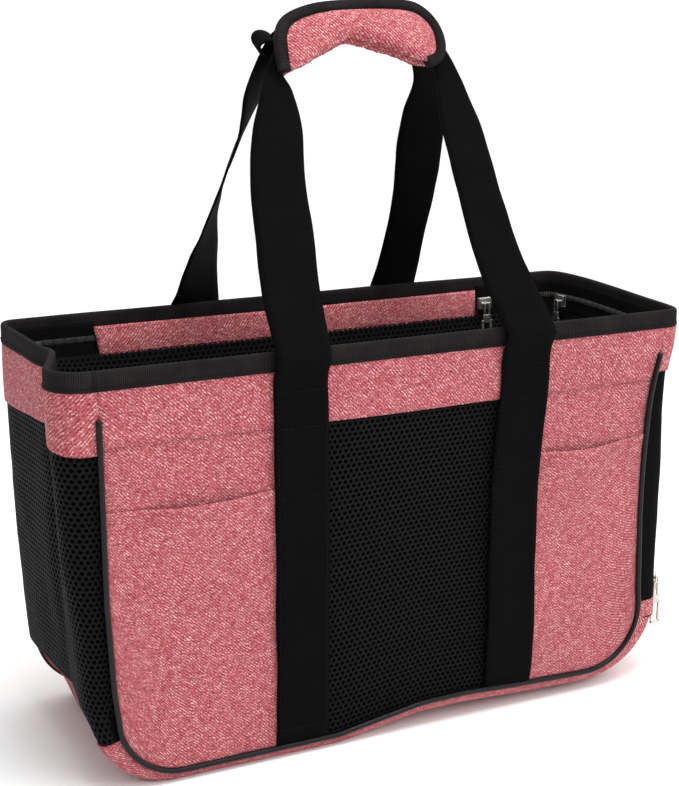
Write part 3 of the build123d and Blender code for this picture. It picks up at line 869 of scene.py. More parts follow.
def build_sole():
    """One strip under the bag, turned up at both ends; at the left it meets the net part way up."""
    def place(s, t):
        return under_point(lerp(NET_TURN / UNDER, 1, s), t)
    cloth_patch("base_sole_cloth", place, 170, 60, (UNDER, GIRTH), "linen", "root", ["base_tray"], 0.0013)


# ------------------------------------------------------------------ right end and its door
DOOR_LOW, DOOR_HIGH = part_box("door_edge")
DOOR_HALF = DOOR_HIGH.y
DOOR_TOP = DOOR_HIGH.z
DOOR_FOOT = DOOR_LOW.z
DOOR_ARCH = 0.030
DOOR_TAPE = 0.009
SLIDER_LOW, SLIDER_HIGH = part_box("door_slider")
COIL_OUT = abs(SLIDER_LOW.y + SLIDER_HIGH.y) / 2 - DOOR_HALF


def in_arch(y, z, grow):
    """Whether a point lies in the door's shape, grown by a margin."""
    half, top, radius = DOOR_HALF + grow, DOOR_TOP + grow, DOOR_ARCH + grow
    if abs(y) > half or z > top:
        return False
    a, b = abs(y) - (half - radius), z - (top - radius)
    return not (a > 0 and b > 0 and math.hypot(a, b) > radius)


def arch_line(grow, z_low, steps=14):
    """Points up the front of the door, over it and down behind, as (y, z)."""
    half, top, radius = DOOR_HALF + grow, DOOR_TOP + grow, DOOR_ARCH + grow
    line = [(-half, z) for z in np.linspace(z_low, top - radius, 40)]
    line += [
        (-half + radius - radius * math.cos(a), top - radius + radius * math.sin(a))
        for a in np.linspace(0, math.pi / 2, steps)[1:]
    ]
    line += [(y, top) for y in np.linspace(radius - half, half - radius, 16)[1:-1]]
    back = [(-y, z) for y, z in reversed(line[: 40 + steps - 1])]
    return line + back


def door_surface(y, z, lift):
    """A point on the right end, by its place across the bag."""
    return end_point(1, gusset_v(y), z, lift)


def strip_between(name, inner, outer, z_low, lift, body, replaces, columns=5):
    """An arched strip of tape between two grown outlines of the door."""
    a, b = arch_line(inner, z_low), arch_line(outer, z_low)
    verts, uvs, run = [], [], 0.0
    for i, (p, q) in enumerate(zip(a, b)):
        if i:
            run += math.dist(p, a[i - 1])
        for k in range(columns):
            s = k / (columns - 1)
            verts.append(door_surface(lerp(p[0], q[0], s), lerp(p[1], q[1], s), lift))
            uvs.append((s * (outer - inner), run))
    return add_piece(name, verts, grid_faces(len(a), columns), uvs, "zip_tape", body, replaces, 0.001)


def coil_teeth(name, line, out_direction, body, replaces=(), pitch=0.0013, width=0.0042):
    """A nylon coil: a row of small rounded loops across a line. out_direction(p) points off the tape."""
    total, at = measured(line)
    verts, faces, uvs = [], [], []
    sides, half_loop = 5, 6
    for i in range(int(total / pitch)):
        run = (i + 0.5) * pitch
        p = at(run)
        along = (at(run + pitch / 2) - p).normalized()
        out = out_direction(p).normalized()
        cross = along.cross(out).normalized()
        first = len(verts)
        for k in range(half_loop):
            turn = math.pi * k / (half_loop - 1)
            centre = p + cross * math.cos(turn) * width / 2 + out * math.sin(turn) * 0.0009
            radial = (cross * math.cos(turn) * 0.5 + out * math.sin(turn)).normalized()
            for m in range(sides):
                spin = 2 * math.pi * m / sides
                verts.append(centre + (radial * math.cos(spin) + along * math.sin(spin)) * 0.00042)
                uvs.append((run, k * 0.001))
        for k in range(half_loop - 1):
            for m in range(sides):
                a, b = first + k * sides + m, first + k * sides + (m + 1) % sides
                faces.append((a, b, b + sides, a + sides))
        faces.append(tuple(first + sides - 1 - m for m in range(sides)))
        faces.append(tuple(first + (half_loop - 1) * sides + m for m in range(sides)))
    return add_piece(name, verts, faces, uvs, "zip_coil", body, replaces)


def build_right_end():
    """Bands, corner tapes and the zipped mesh door with its coil, net, a painted-shade sheet behind the
    net, and stitches.
    """
    top_low = BAND_FOOT + 0.006

    def band(s, t):
        return end_point(1, s, lerp(BAND_FOOT + 0.004, BAND_TOP + 0.002, t), 0.0010)

    size = (GIRTH, BAND_WIDTH)
    cloth_patch("right_top_band_cloth", band, 80, 16, size, "linen", "root", ["right_top_band"], 0.0014)
    foot = DOOR_FOOT - 0.001
    low = RIGHT_CENTRE.z - 0.001
    right_cloth(
        "right_base_band_cloth", low, DOOR_FOOT, "linen", ["right_base_band"], lift=0.0004, counts=(70, 5)
    )
    for wall, side in (("front", -1), ("back", 1)):
        edge = side * (DOOR_HALF + 0.010)
        v0, v1 = sorted((gusset_v(edge), 0.0 if side < 0 else 1.0))
        right_cloth(
            f"right_corner_{wall}_tape", foot, top_low, "zip_tape", [f"right_corner_{wall}"], v0, v1,
            counts=(14, 60),
        )
    strip_between("door_zip_tape_cloth", 0.0006, 0.0125, foot, 0.0002, "root", ["door_zip_tape"])
    line = [door_surface(y, z, 0.0008) for y, z in arch_line(COIL_OUT, DOOR_FOOT + 0.001)]
    coil_teeth("door_zip_teeth", line, lambda p: Vector((1, 0, 0)), "root", ["door_zip_coil"])
    strip_between("door_edge_tape", -DOOR_TAPE, -0.0004, DOOR_FOOT, 0.0006, "door", ["door_edge"])
    width, height = 2 * DOOR_HALF, DOOR_TOP - DOOR_FOOT

    def net(s, t, lift=-0.0002):
        return door_surface(lerp(-DOOR_HALF, DOOR_HALF, s), lerp(DOOR_FOOT, DOOR_TOP, t), lift)

    def inside(s, t):
        return in_arch(lerp(-DOOR_HALF, DOOR_HALF, s), lerp(DOOR_FOOT, DOOR_TOP, t), -0.0075)

    hex_net("door_net", net, (width, height), NET_PITCH, "door", ["door_mesh"], inside)
    # Painted shade: a near-black sheet behind the door's net, standing for the shaded inside seen through
    # its holes.
    cloth_patch(
        "door_shade_sheet", lambda s, t: net(s, t, -0.0022), 40, 60, (width, height), "backing", "door",
        thick=0.001, keep=lambda p: in_arch(p.y, p.z, -0.002),
    )

    def fold(s, t):
        y = lerp(-DOOR_HALF + 0.0006, DOOR_HALF - 0.0006, s)
        return door_surface(y, lerp(DOOR_FOOT, DOOR_FOOT + 0.010, t), 0.0012)

    cloth_patch("door_foot_tape", fold, 40, 5, (width, 0.010), "zip_tape", "door", thick=0.001)
    arch = [door_surface(y, z, 0.0012) for y, z in arch_line(-DOOR_TAPE + 0.0015, DOOR_FOOT + 0.008)]
    ys = np.linspace(-DOOR_HALF + 0.004, DOOR_HALF - 0.004, 40)
    foot_row = [door_surface(y, DOOR_FOOT + 0.0085, 0.0019) for y in ys]
    stitch_rows("door_stitches", [arch, foot_row], "black_thread", "door")


# ------------------------------------------------------------------ rim, lid and its zip
def rim_height(p):
    """The rim stands a little higher at the back than at the front."""
    return RIM_TOP + 0.0035 * smooth(p.y, -0.08, 0.08) + 0.0005 * ripple(p.x, p.y, 12, 50)


def rim_line(inset=0.0, z=None, level=0.270):
    """The closed line round the rim, drawn in by inset."""
    line = []
    for x in np.linspace(LEFT_FOOT, RIGHT_FOOT, 90):
        line.append(wall_point(-1, x, level, 0.0006))
    line += [end_point(1, v, level, 0.0006) for v in np.linspace(0, 1, 60)[1:-1]]
    for x in np.linspace(RIGHT_FOOT, LEFT_FOOT, 90):
        line.append(wall_point(1, x, level, 0.0006))
    line += [end_point(-1, v, level, 0.0006) for v in np.linspace(1, 0, 70)[1:-1]]
    plan = np.array([(p.x, p.y) for p in line])
    closed = np.vstack([plan, plan[:1]])
    run = lengths(closed)
    at = np.linspace(0, run[-1], 360, endpoint=False)
    even = np.stack([np.interp(at, run, closed[:, k]) for k in range(2)], 1)
    for _ in range(2 + int(inset / 0.001)):
        even = (np.roll(even, 1, 0) + 2 * even + np.roll(even, -1, 0)) / 4
    tangent = np.roll(even, -1, 0) - np.roll(even, 1, 0)
    tangent /= np.linalg.norm(tangent, axis=1)[:, None]
    inward = np.stack([-tangent[:, 1], tangent[:, 0]], 1)
    even = even + inward * inset
    found = [Vector((x, y, 0)) for x, y in even]
    for p in found:
        p.z = rim_height(p) if z is None else z + 0.0035 * smooth(p.y, -0.08, 0.08)
    return found


BINDING_DEPTH = 0.0130
BINDING_HALF = 0.0023


def binding_section():
    """An upside-down U of folded tape, drawn from its outer foot over the top to its inner foot."""
    half, depth = BINDING_HALF, BINDING_DEPTH
    outer = [(half * 0.75, -depth), (half * 1.12, -depth * 0.97), (half, -depth * 0.6)]
    outer.append((half, -depth * 0.3))
    crown = [(half * math.cos(a), half * math.sin(a) - half) for a in np.linspace(0.25, math.pi - 0.25, 8)]
    inner = [(-x, z) for x, z in reversed(outer)]
    return outer + crown + inner


def build_rim():
    """The folded tape round the rim, with a row of stitches near each of its lower edges."""
    line = rim_line(0.0008)
    sweep("rim_binding_tape", line, binding_section(), "binding", "root", ["rim_binding"], closed=True)
    level = RIM_TOP - BINDING_DEPTH + 0.0022
    rows = [offset_line(rim_line(0.0, level), -0.0019), rim_line(0.0035, level)]
    stitch_rows("rim_stitches", [row + row[:1] for row in rows], "black_thread", "root")


def offset_line(line, inset):
    """A closed line moved towards the inside of the bag by inset."""
    count = len(line)
    found = []
    for i, p in enumerate(line):
        along = (line[(i + 1) % count] - line[i - 1]).normalized()
        found.append(p + Vector((-along.y, along.x, 0)) * inset)
    return found


BAND_LOW, BAND_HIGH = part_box("lid_hinge_band")
ZIP_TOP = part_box("lid_zip_outer_tape")[1].z
ZIP_MIDDLE = 0.2585
TAPE_FOOT = 0.2470


def beside_hinge(p):
    """Whether a point of the rim lies where the lid's hinge band takes the zip's place."""
    return p.y > 0.03 and BAND_LOW.x - 0.001 < p.x < BAND_HIGH.x + 0.001


def run_without_hinge(line):
    """Cuts the closed line at the hinge band, so that it starts and ends beside it."""
    count = len(line)
    start = next(i for i in range(count) if beside_hinge(line[i - 1]) and not beside_hinge(line[i]))
    ordered = [line[(start + k) % count] for k in range(count)]
    return [p for p in ordered if not beside_hinge(p)]


def hanging_tape(name, top_inset, top_z, foot_inset, foot_level, body, replaces, rows=5):
    """A tape that hangs inside the rim, from one inset and height to another."""
    top = run_without_hinge(rim_line(top_inset, top_z))
    foot = rim_line(foot_inset, foot_level)
    verts, uvs, run = [], [], 0.0
    for i, p in enumerate(top):
        if i:
            run += (p - top[i - 1]).length
        q = min(foot, key=lambda f: (f.x - p.x) ** 2 + (f.y - p.y) ** 2)
        for k in range(rows):
            t = k / (rows - 1)
            wave = 0.0007 * ripple(p.x, p.y, 35, 60 + k) * t
            point = p.lerp(q, t)
            verts.append(point + Vector((wave, wave, 0)))
            uvs.append((t * abs(top_z - foot_level), run))
    return add_piece(name, verts, grid_faces(len(top), rows), uvs, "zip_tape", body, replaces, 0.0008)


def towards_middle(p):
    """Into the bag, square to the nearest wall."""
    if abs(p.y) > 0.055 and abs(p.x) < 0.2:
        return Vector((0, -math.copysign(1, p.y), 0.25))
    return Vector((-math.copysign(1, p.x), -0.6 * p.y / 0.08, 0.25))


LID_EDGE_Z = 0.2485
LID_FLOOR_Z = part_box("lid_mesh")[0].z + 0.0015
LID_PITCH = 0.0042
# Sections of the hanging lid, each a line of (place, share of the full drop) with its length beside.
LID_ACROSS = [(-0.2216, 0.0, 0.0), (-0.205, 0.45, 0.019), (-0.180, 0.88, 0.045), (-0.150, 1.0, 0.076)]
LID_ACROSS += [(0.190, 1.0, 0.416), (0.2095, 0.86, 0.436), (0.2135, 0.4, 0.446), (0.2149, 0.0, 0.454)]
LID_BACK_Y = 0.0715
LID_FRONT_Y = -0.0725
LID_ALONG = [(LID_BACK_Y, 0.0, 0.0), (0.0700, 0.45, 0.009), (0.0670, 0.86, 0.017), (0.050, 1.0, 0.034)]
LID_ALONG += [(-0.030, 1.0, 0.114), (-0.058, 0.80, 0.143), (-0.068, 0.42, 0.156), (LID_FRONT_Y, 0.0, 0.165)]


def along_section(section, share):
    """Where a section stands after a share of its length: place and share of the drop."""
    run = share * section[-1][2]
    lengths = [p[2] for p in section]
    place = float(np.interp(run, lengths, [p[0] for p in section]))
    return place, float(np.interp(run, lengths, [p[1] for p in section]))


def lid_point(s, t, drop=0.0):
    """A point on the lid: s from left to right, t from the back to the front."""
    x, end_drop = along_section(LID_ACROSS, s)
    y, side_drop = along_section(LID_ALONG, t)
    folds = 0.0024 * ripple(x, y * 1.5, 14, 70) + 0.0010 * ripple(x, y, 40, 71)
    share = end_drop * side_drop
    back_lift = 0.0030 * smooth(y, -0.07, 0.07)
    z = LID_EDGE_Z + back_lift * (1 - share) - share * (LID_EDGE_Z - LID_FLOOR_Z - 0.003 + folds)
    flat_y = lerp(LID_BACK_Y, LID_FRONT_Y, t)
    return Vector((x, lerp(flat_y, y, end_drop), z - drop))


def build_lid():
    """The zip tapes and coil inside the rim, the hanging net with a painted-shade sheet under it, and the
    hinge band at the back.
    """
    hanging_tape(
        "lid_zip_outer_cloth", 0.0032, ZIP_TOP - 0.002, 0.0050, ZIP_MIDDLE + 0.0005, "root",
        ["lid_zip_outer_tape"],
    )
    line = run_without_hinge(rim_line(0.0058, ZIP_MIDDLE))
    coil_teeth("lid_zip_teeth", line, towards_middle, "root", ["lid_zip_coil"])
    hanging_tape(
        "lid_zip_inner_cloth", 0.0056, ZIP_MIDDLE - 0.0012, 0.0085, TAPE_FOOT - 0.001, "lid",
        ["lid_zip_inner_tape"],
    )
    size = (LID_ACROSS[-1][2], LID_ALONG[-1][2])
    hex_net("lid_net", lid_point, size, LID_PITCH, "lid", ["lid_mesh"], thick=0.0010)

    # Painted shade: a near-black sheet under the lid's net, standing for the shaded inside seen through its
    # holes; it lies closer to the net towards the edges.
    def backing(s, t):
        inside = smooth(min(s, 1 - s) * 40) * smooth(min(t, 1 - t) * 15)
        return lid_point(s, t, lerp(0.0008, 0.0026, inside))

    cloth_patch("lid_shade_sheet", backing, 90, 36, size, "backing", "lid", thick=0.001)

    def band(s, t):
        x = lerp(BAND_LOW.x - 0.003, BAND_HIGH.x, s) + 0.003 * (t - 0.5) * (1 - 2 * s)
        y = 0.0760 - 0.0035 * t - 0.0012 * math.sin(math.pi * t)
        y += 0.0008 * ripple(x, t * 0.02, 25, 80)
        return Vector((x, y, lerp(0.2705, 0.2495, t) - 0.0006 * math.sin(math.pi * s)))

    size = (BAND_HIGH.x - BAND_LOW.x, 0.021)
    cloth_patch("lid_hinge_band_cloth", band, 90, 12, size, "linen", "lid", ["lid_hinge_band"])
    lift = Vector((0, -0.0009, 0))
    rows = [[band(s, t) + lift for s in np.linspace(0.01, 0.99, 90)] for t in (0.08, 0.92)]
    stitch_rows("hinge_band_stitches", rows, "pink_thread", "lid")


# ------------------------------------------------------------------ zip sliders and pulls
# Millimetres: size, centre and bevel of the plates, the neck, the side lips and the bridge.
SLIDER_BLOCKS = [
    ((8.8, 1.1, 10.5), (0, -1.9, 0), 0.4),
    ((9.2, 1.2, 11.2), (0, 0.6, 0), 0.5),
    ((2.2, 3.0, 3.0), (0, -0.6, 3.2), 0.4),
    ((1.0, 2.2, 8.5), (-4.0, -0.9, -1.2), 0.3),
    ((1.0, 2.2, 8.5), (4.0, -0.9, -1.2), 0.3),
    ((1.8, 1.2, 7.2), (0, 2.1, 0), 0.5),
    ((1.8, 1.8, 1.4), (0, 1.2, 3.2), 0.4),
    ((1.8, 1.8, 1.4), (0, 1.2, -3.2), 0.4),
]
PULL_WIDTH, PULL_THICK, PULL_RAIL = 0.0092, 0.0014, 0.0021


def box_mesh(bm, size, centre, bevel, segments=2):
    """A rounded block added to a bmesh."""
    made = bmesh.ops.create_cube(bm, size=1.0)
    for v in made["verts"]:
        v.co = Vector([v.co[k] * size[k] + centre[k] for k in range(3)])
    edges = list({e for v in made["verts"] for e in v.link_edges})
    bmesh.ops.bevel(bm, geom=edges, offset=bevel, segments=segments, affect="EDGES", profile=0.6)


def metal_piece(name, bm, matrix, body, replaces):
    data = bpy.data.meshes.new(name)
    bm.to_mesh(data)
    bm.free()
    data.transform(matrix)
    data.uv_layers.new(name="UVMap")
    data.polygons.foreach_set("use_smooth", [True] * len(data.polygons))
    piece = show(name, data, MAT["nickel"])
    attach(piece, body)
    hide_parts(*replaces)
    return piece


def facing(node, out, along):
    """Where a slider stands: local X runs across, local Y off the tape, local Z along the coil."""
    low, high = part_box(node)
    out, along = Vector(out), Vector(along)
    cross = out.cross(along)
    matrix = Matrix((cross, out, along)).transposed().to_4x4()
    matrix.translation = (low + high) / 2
    return matrix


def build_slider(name, node, out, along, body):
    """Two plates joined by a neck, with the bridge that holds the pull."""
    bm = bmesh.new()
    for size, centre, bevel in SLIDER_BLOCKS:
        box_mesh(bm, [c * MM for c in size], [c * MM for c in centre], bevel * MM)
    metal_piece(name, bm, facing(node, out, along), body, [node])


def build_pull(name, node, out, joint, body, shift=(0, 0, 0)):
    """A flat pull: a neck with a hole, and a long window below it."""
    low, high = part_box(node)
    length = high.z - low.z
    bm = bmesh.new()
    top, bottom = 0.0008, -length + 0.0006
    window_top = bottom + length * 0.52
    neck = window_top + 0.004

    def bar(width, height, x, z, bevel=0.0003):
        box_mesh(bm, (width, PULL_THICK, height), (x, 0, z), bevel)

    for hand in (-1, 1):
        bar(PULL_RAIL, window_top - bottom, hand * (PULL_WIDTH - PULL_RAIL) / 2, (window_top + bottom) / 2)
    bar(PULL_WIDTH, 0.0024, 0, bottom + 0.0010)
    bar(PULL_WIDTH, 0.0022, 0, window_top)
    bar(PULL_WIDTH * 0.72, 0.0052, 0, window_top + 0.0030, 0.0004)
    for hand in (-1, 1):
        bar(0.0014, top - neck, hand * 0.0019, (top + neck) / 2)
    bar(0.0046, 0.0013, 0, top - 0.0004)
    out = Vector(out).normalized()
    matrix = Matrix((out.cross(Vector((0, 0, 1))), out, Vector((0, 0, 1)))).transposed().to_4x4()
    matrix.translation = Vector(JOINT[joint]["pos_m"]) + Vector(shift)
    metal_piece(name, bm, matrix, body, [node])


DOOR_PULL_SHIFT = (-0.0055, -0.004, 0)


def build_sliders():
    """The door's slider faces half forward, and its pull hangs turned to the front."""
    build_slider("door_slider_metal", "door_slider", (0.8, -0.6, 0), (0, 0, 1), "door_zip_slider")
    build_pull(
        "door_pull_metal", "door_pull", (0.15, -1, 0), "door_pull_swing", "door_zip_pull", DOOR_PULL_SHIFT
    )
    for place, out, along in (("back", (0, -1, 0), (1, 0, 0)), ("end", (-1, 0, 0), (0, 1, 0))):
        zip_end = f"lid_{place}"
        build_slider(f"{zip_end}_slider_metal", f"lid_slider_{place}", out, along, f"{zip_end}_slider")
        build_pull(
            f"{zip_end}_pull_metal", f"lid_pull_{place}", out, f"{zip_end}_pull_swing", f"{zip_end}_pull"
        )


# ------------------------------------------------------------------ carry loops
# Each row across a loop is its outer edge and its inner edge, in millimetres.
FRONT_LOOP = [
    ((-103, -75, 312), (-63, -75, 313)),
    ((-102, -64, 346), (-62, -65, 345)),
    ((-100, -53, 379), (-62, -53, 380)),
    ((-94, -43, 409), (-59, -43, 411)),
    ((-86, -37, 430), (-62, -35, 434)),
    ((-78, -30, 447), (-66, -29, 446)),
    ((-64, -25, 466), (-55, -25, 455)),
    ((-34, -22, 477), (-34, -22, 463)),
    ((-14, -21, 481), (-14, -21, 469)),
    ((22, -22, 477), (22, -23, 461)),
    ((51, -26, 464), (43, -28, 454)),
    ((65, -32, 440), (46, -33, 438)),
    ((70, -38, 424), (45, -40, 416)),
    ((76, -45, 404), (46, -47, 398)),
    ((83, -59, 362), (50, -57, 366)),
    ((91, -69, 328), (54, -68, 334)),
    ((97, -77, 308), (60, -77, 306)),
]
# The back loop's left side is twisted: its middle line, and how far it has turned from facing the front.
BACK_TWIST = [
    ((-84, 76, 297), 54),
    ((-84, 66, 318), 67),
    ((-83, 54, 342), 85),
    ((-78, 32, 380), 93),
    ((-72, 14, 412), 86),
    ((-67, 1, 438), 66),
]
TWIST_SIDE = Vector((0.554, 0.735, 0.386))
BACK_LOOP = [
    ((-68, -5, 462), (-58, -9, 452)),
    ((-57, -7, 474), (-49, -8, 460)),
    ((-32, -5, 480), (-32, -5, 463)),
    ((-12, -4, 482), (-12, -4, 466)),
    ((20, -4, 479), (20, -4, 462)),
    ((47, -2, 466), (41, -1, 455)),
    ((66, 3, 444), (49, 2, 438)),
    ((79, 14, 414), (47, 13, 414)),
    ((87, 27, 390), (50, 27, 389)),
    ((93, 48, 351), (58, 46, 353)),
    ((94, 62, 323), (61, 63, 321)),
    ((97, 76, 297), (62, 76, 297)),
]


def twisted_rows():
    """The back loop's twisted left side, as rows like those of BACK_LOOP."""
    rows = []
    for middle, degrees in BACK_TWIST:
        turn = math.radians(degrees)
        half = (Vector((1, 0, 0)) * math.cos(turn) + TWIST_SIDE * math.sin(turn)) * STRAP_HALF * 1000
        rows.append((tuple(Vector(middle) - half), tuple(Vector(middle) + half)))
    return rows


def build_loop(wall, side, rows):
    """One long webbing: up a sewn strap, over the rim, round the carry loop and down the other strap."""
    raised = [[tuple(c * MM for c in edge) for edge in row] for row in rows]
    path = strap_rows(side, "left") + raised + list(reversed(strap_rows(side, "right")))
    line = spline(np.array([(*a, *b) for a, b in path], float), 520)
    columns = 9
    verts, uvs, run = [], [], 0.0
    previous = None
    for i, row in enumerate(line):
        outer, inner = Vector(row[:3]), Vector(row[3:])
        middle = (outer + inner) / 2
        if previous is not None:
            run += (middle - previous).length
        previous = middle
        ahead, behind = line[min(i + 1, len(line) - 1)], line[max(i - 1, 0)]
        along = Vector((ahead - behind)[:3]) + Vector((ahead - behind)[3:])
        normal = along.cross(inner - outer).normalized()
        free = smooth(middle.z, RIM_TOP, RIM_TOP + 0.05)
        for k in range(columns):
            t = k / (columns - 1)
            dish = 0.0016 * math.sin(math.pi * t) * ripple(run, side, 14, 90) * free
            crease = 0.0006 * ripple(run, t * 0.02, 70, 92) * free
            verts.append(outer.lerp(inner, t) + normal * (dish + crease))
            uvs.append((t * 2 * STRAP_HALF, run))
    replaces = [f"{wall}_strap_left", f"{wall}_strap_right", f"{wall}_handle_webbing"]
    body = f"{wall}_handle"
    piece = add_piece(
        f"{wall}_webbing", verts, grid_faces(len(line), columns), uvs, "webbing", None, replaces, 0.0015
    )
    hinge = Vector(JOINT[f"{body}_fold"]["pos_m"])
    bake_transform(piece)


def build_fold():
    """The back loop's webbing doubles over beside the grip's left end."""
    def place(s, t):
        turn = lerp(-0.25, 1.25, s) * math.pi
        return Vector((
            -0.0670 - 0.0080 * math.sin(turn),
            -0.0085 + 0.012 * (t - 0.5),
            0.4620 + 0.0060 * math.cos(turn) + 0.007 * (t - 0.5) + 0.002 * math.sin(turn),
        ))
    cloth_patch("back_webbing_fold", place, 24, 6, (0.026, 0.014), "webbing", "back_handle", thick=0.0015)


# ------------------------------------------------------------------ grip
HINGE = Vector(JOINT["front_handle_fold"]["pos_m"])
LEAN = math.radians(18.2)
UP_LOOP = Vector((0, math.sin(LEAN), math.cos(LEAN)))
FORWARD = Vector((0, -math.cos(LEAN), math.sin(LEAN)))
GRIP_LEFT, GRIP_RIGHT = -0.0710, 0.0530
GRIP_VOXEL = 0.0022
GRIP_PRESSURE = 4.0
# The grip's outline: place along the bag and height up the loop, in millimetres.
GRIP_TOP_LINE = [(-71, 190), (-70, 202), (-61, 213), (-38, 220), (-1, 222)]
GRIP_TOP_LINE += [(29, 221), (43, 215), (51, 204), (53, 190)]
GRIP_FOOT_LINE = [(-71, 174), (-61, 178), (-38, 186), (-17, 195), (10, 188)]
GRIP_FOOT_LINE += [(34, 181), (46, 180), (53, 184)]


def grip_place(x, v, w):
    """From the loop's own plane: along the bag, up the loop, and towards the front."""
    return Vector((x, HINGE.y, HINGE.z)) + UP_LOOP * v + FORWARD * w


GRIP_TOP_CURVE = spline(GRIP_TOP_LINE, 80) * MM


def grip_top(x):
    return float(np.interp(x, GRIP_TOP_CURVE[:, 0], GRIP_TOP_CURVE[:, 1]))


def grip_foot(x):
    """The lower fold is pulled up to a notch in its middle."""
    return float(np.interp(x * 1000, [p[0] for p in GRIP_FOOT_LINE], [p[1] for p in GRIP_FOOT_LINE])) * MM


def pad_shape(name, w_near, w_far, shrink, foot_drop, body, node):
    """A closed pillow in the grip's outline between two depths."""
    ns, nt = 60, 20
    verts = []
    for w in (w_near, w_far):
        for s in np.linspace(0, 1, ns):
            for t in np.linspace(0, 1, nt):
                x = lerp(GRIP_LEFT + shrink, GRIP_RIGHT - shrink, s)
                v = lerp(grip_foot(x) - foot_drop, grip_top(x) - shrink, t)
                rim = max(math.sin(math.pi * s), 0) ** 0.3 * max(math.sin(math.pi * t), 0) ** 0.35
                depth = lerp((w_near + w_far) / 2, w, 0.62 + 0.38 * rim)
                verts.append(grip_place(x, v, depth))
    grid = grid_faces(ns, nt)
    offset = ns * nt
    faces = [tuple(reversed(f)) for f in grid]
    faces += [tuple(i + offset for i in f) for f in grid]
    border = [(i * nt, (i + 1) * nt) for i in range(ns - 1)]
    border += [((ns - 1) * nt + j, (ns - 1) * nt + j + 1) for j in range(nt - 1)]
    border += [((i + 1) * nt + nt - 1, i * nt + nt - 1) for i in reversed(range(ns - 1))]
    border += [(j + 1, j) for j in reversed(range(nt - 1))]
    faces += [(a, b, b + offset, a + offset) for a, b in border]
    return add_piece(name, verts, faces, None, "linen", body, [node])


def swell(piece, voxel, pressure, cap, frames=18):
    """Inflates a closed piece as cloth and keeps each point within cap of where it began."""
    modifier = piece.modifiers.new("remesh", "REMESH")
    modifier.mode = "VOXEL"
    modifier.voxel_size = voxel
    relax = piece.modifiers.new("relax", "SMOOTH")
    relax.factor = 0.5
    relax.iterations = 6
    apply_modifiers(piece)
    start = read_points(piece)
    cloth = piece.modifiers.new("cloth", "CLOTH")
    settings = cloth.settings
    settings.quality = 6
    settings.mass = 0.2
    settings.use_pressure = True
    settings.uniform_pressure_force = pressure
    settings.tension_stiffness = 12
    settings.compression_stiffness = 12
    settings.bending_stiffness = 0.4
    settings.effector_weights.gravity = 0.0
    scene = bpy.context.scene
    scene.frame_start, scene.frame_end = 1, frames
    cloth.point_cache.frame_start, cloth.point_cache.frame_end = 1, frames
    for step in range(1, frames + 1):
        scene.frame_set(step)
    apply_modifiers(piece)
    scene.frame_set(1)
    end = read_points(piece)
    move = end - start
    far = np.linalg.norm(move, axis=1)[:, None]
    move *= np.minimum(1.0, cap / np.maximum(far, 1e-9))
    piece.data.vertices.foreach_set("co", (start + move).ravel())
    piece.data.update()


def read_points(piece):
    co = np.zeros(len(piece.data.vertices) * 3)
    piece.data.vertices.foreach_get("co", co)
    return co.reshape(-1, 3)


def apply_modifiers(piece):
    graph = bpy.context.evaluated_depsgraph_get()
    data = bpy.data.meshes.new_from_object(piece.evaluated_get(graph))
    piece.modifiers.clear()
    old = piece.data
    piece.data = data
    bpy.data.meshes.remove(old)


def finish_pad(piece, across_axis, up_axis):
    """Smooth shading, one subdivision and a flat-laid UV for the weave."""
    fine = piece.modifiers.new("smooth", "SUBSURF")
    fine.levels = fine.render_levels = 1
    apply_modifiers(piece)
    data = piece.data
    data.polygons.foreach_set("use_smooth", [True] * len(data.polygons))
    layer = data.uv_layers.get("UVMap") or data.uv_layers.new(name="UVMap")
    for loop in data.loops:
        co = data.vertices[loop.vertex_index].co
        layer.data[loop.index].uv = (co.dot(across_axis), co.dot(up_axis))


def build_grip():
    """The padded flap and back of the grip, their fastening tapes, and the flap's edge binding."""
    for name, near, far, shrink, drop, body, node, cap in (
        ("grip_flap_pad", 0.0018, 0.0080, 0.004, 0.0, "grip_wrap", "grip_flap", 0.0020),
        ("grip_back_padding", -0.0070, -0.0014, 0.002, 0.001, "front_handle", "grip_back_pad", 0.0015),
    ):
        pad = pad_shape(name, near, far, shrink, drop, body, node)
        swell(pad, GRIP_VOXEL, GRIP_PRESSURE, cap)
        finish_pad(pad, Vector((1, 0, 0)), UP_LOOP)
    for name, node, body, w in (
        ("grip_hook_tape", "grip_hook_strip", "grip_wrap", 0.0010),
        ("grip_loop_tape", "grip_loop_strip", "front_handle", -0.0010),
    ):
        def tape(s, t, w=w):
            return grip_place(lerp(-0.054, 0.036, s), lerp(0.2045, 0.2130, t), w)
        cloth_patch(name, tape, 40, 5, (0.090, 0.0085), "hook_loop", body, [node], 0.0008)
    outline = [(-67.5, 176), (-67.5, 190), (-66, 201), (-58.5, 210), (-37, 216.5), (-1, 218.5), (28, 217.5)]
    outline += [(40, 212), (47.5, 202), (49.5, 191), (46, 183), (38, 180)]
    path = spline(outline, 120) * MM
    line = [grip_place(x, v, 0.0046) for x, v in path]
    half_w, half_h = 0.0036, 0.0042
    section = [
        (half_h * math.copysign(abs(math.cos(a)) ** 0.6, math.cos(a)),
         half_w * math.copysign(abs(math.sin(a)) ** 0.6, math.sin(a)))
        for a in np.linspace(0, 2 * math.pi, 16, endpoint=False)
    ]
    sweep("grip_binding_tape", line, section, "binding", "grip_wrap", ["grip_binding"], up=FORWARD)
    inner = [p + FORWARD * 0.0037 for p in line[4:-4]]
    centre = grip_place((GRIP_LEFT + GRIP_RIGHT) / 2, 0.190, 0.0083)
    inner = [p + (centre - p).normalized() * 0.0022 for p in inner]
    stitch_rows("grip_stitches", [inner], "black_thread", "grip_wrap", pitch=0.0028)


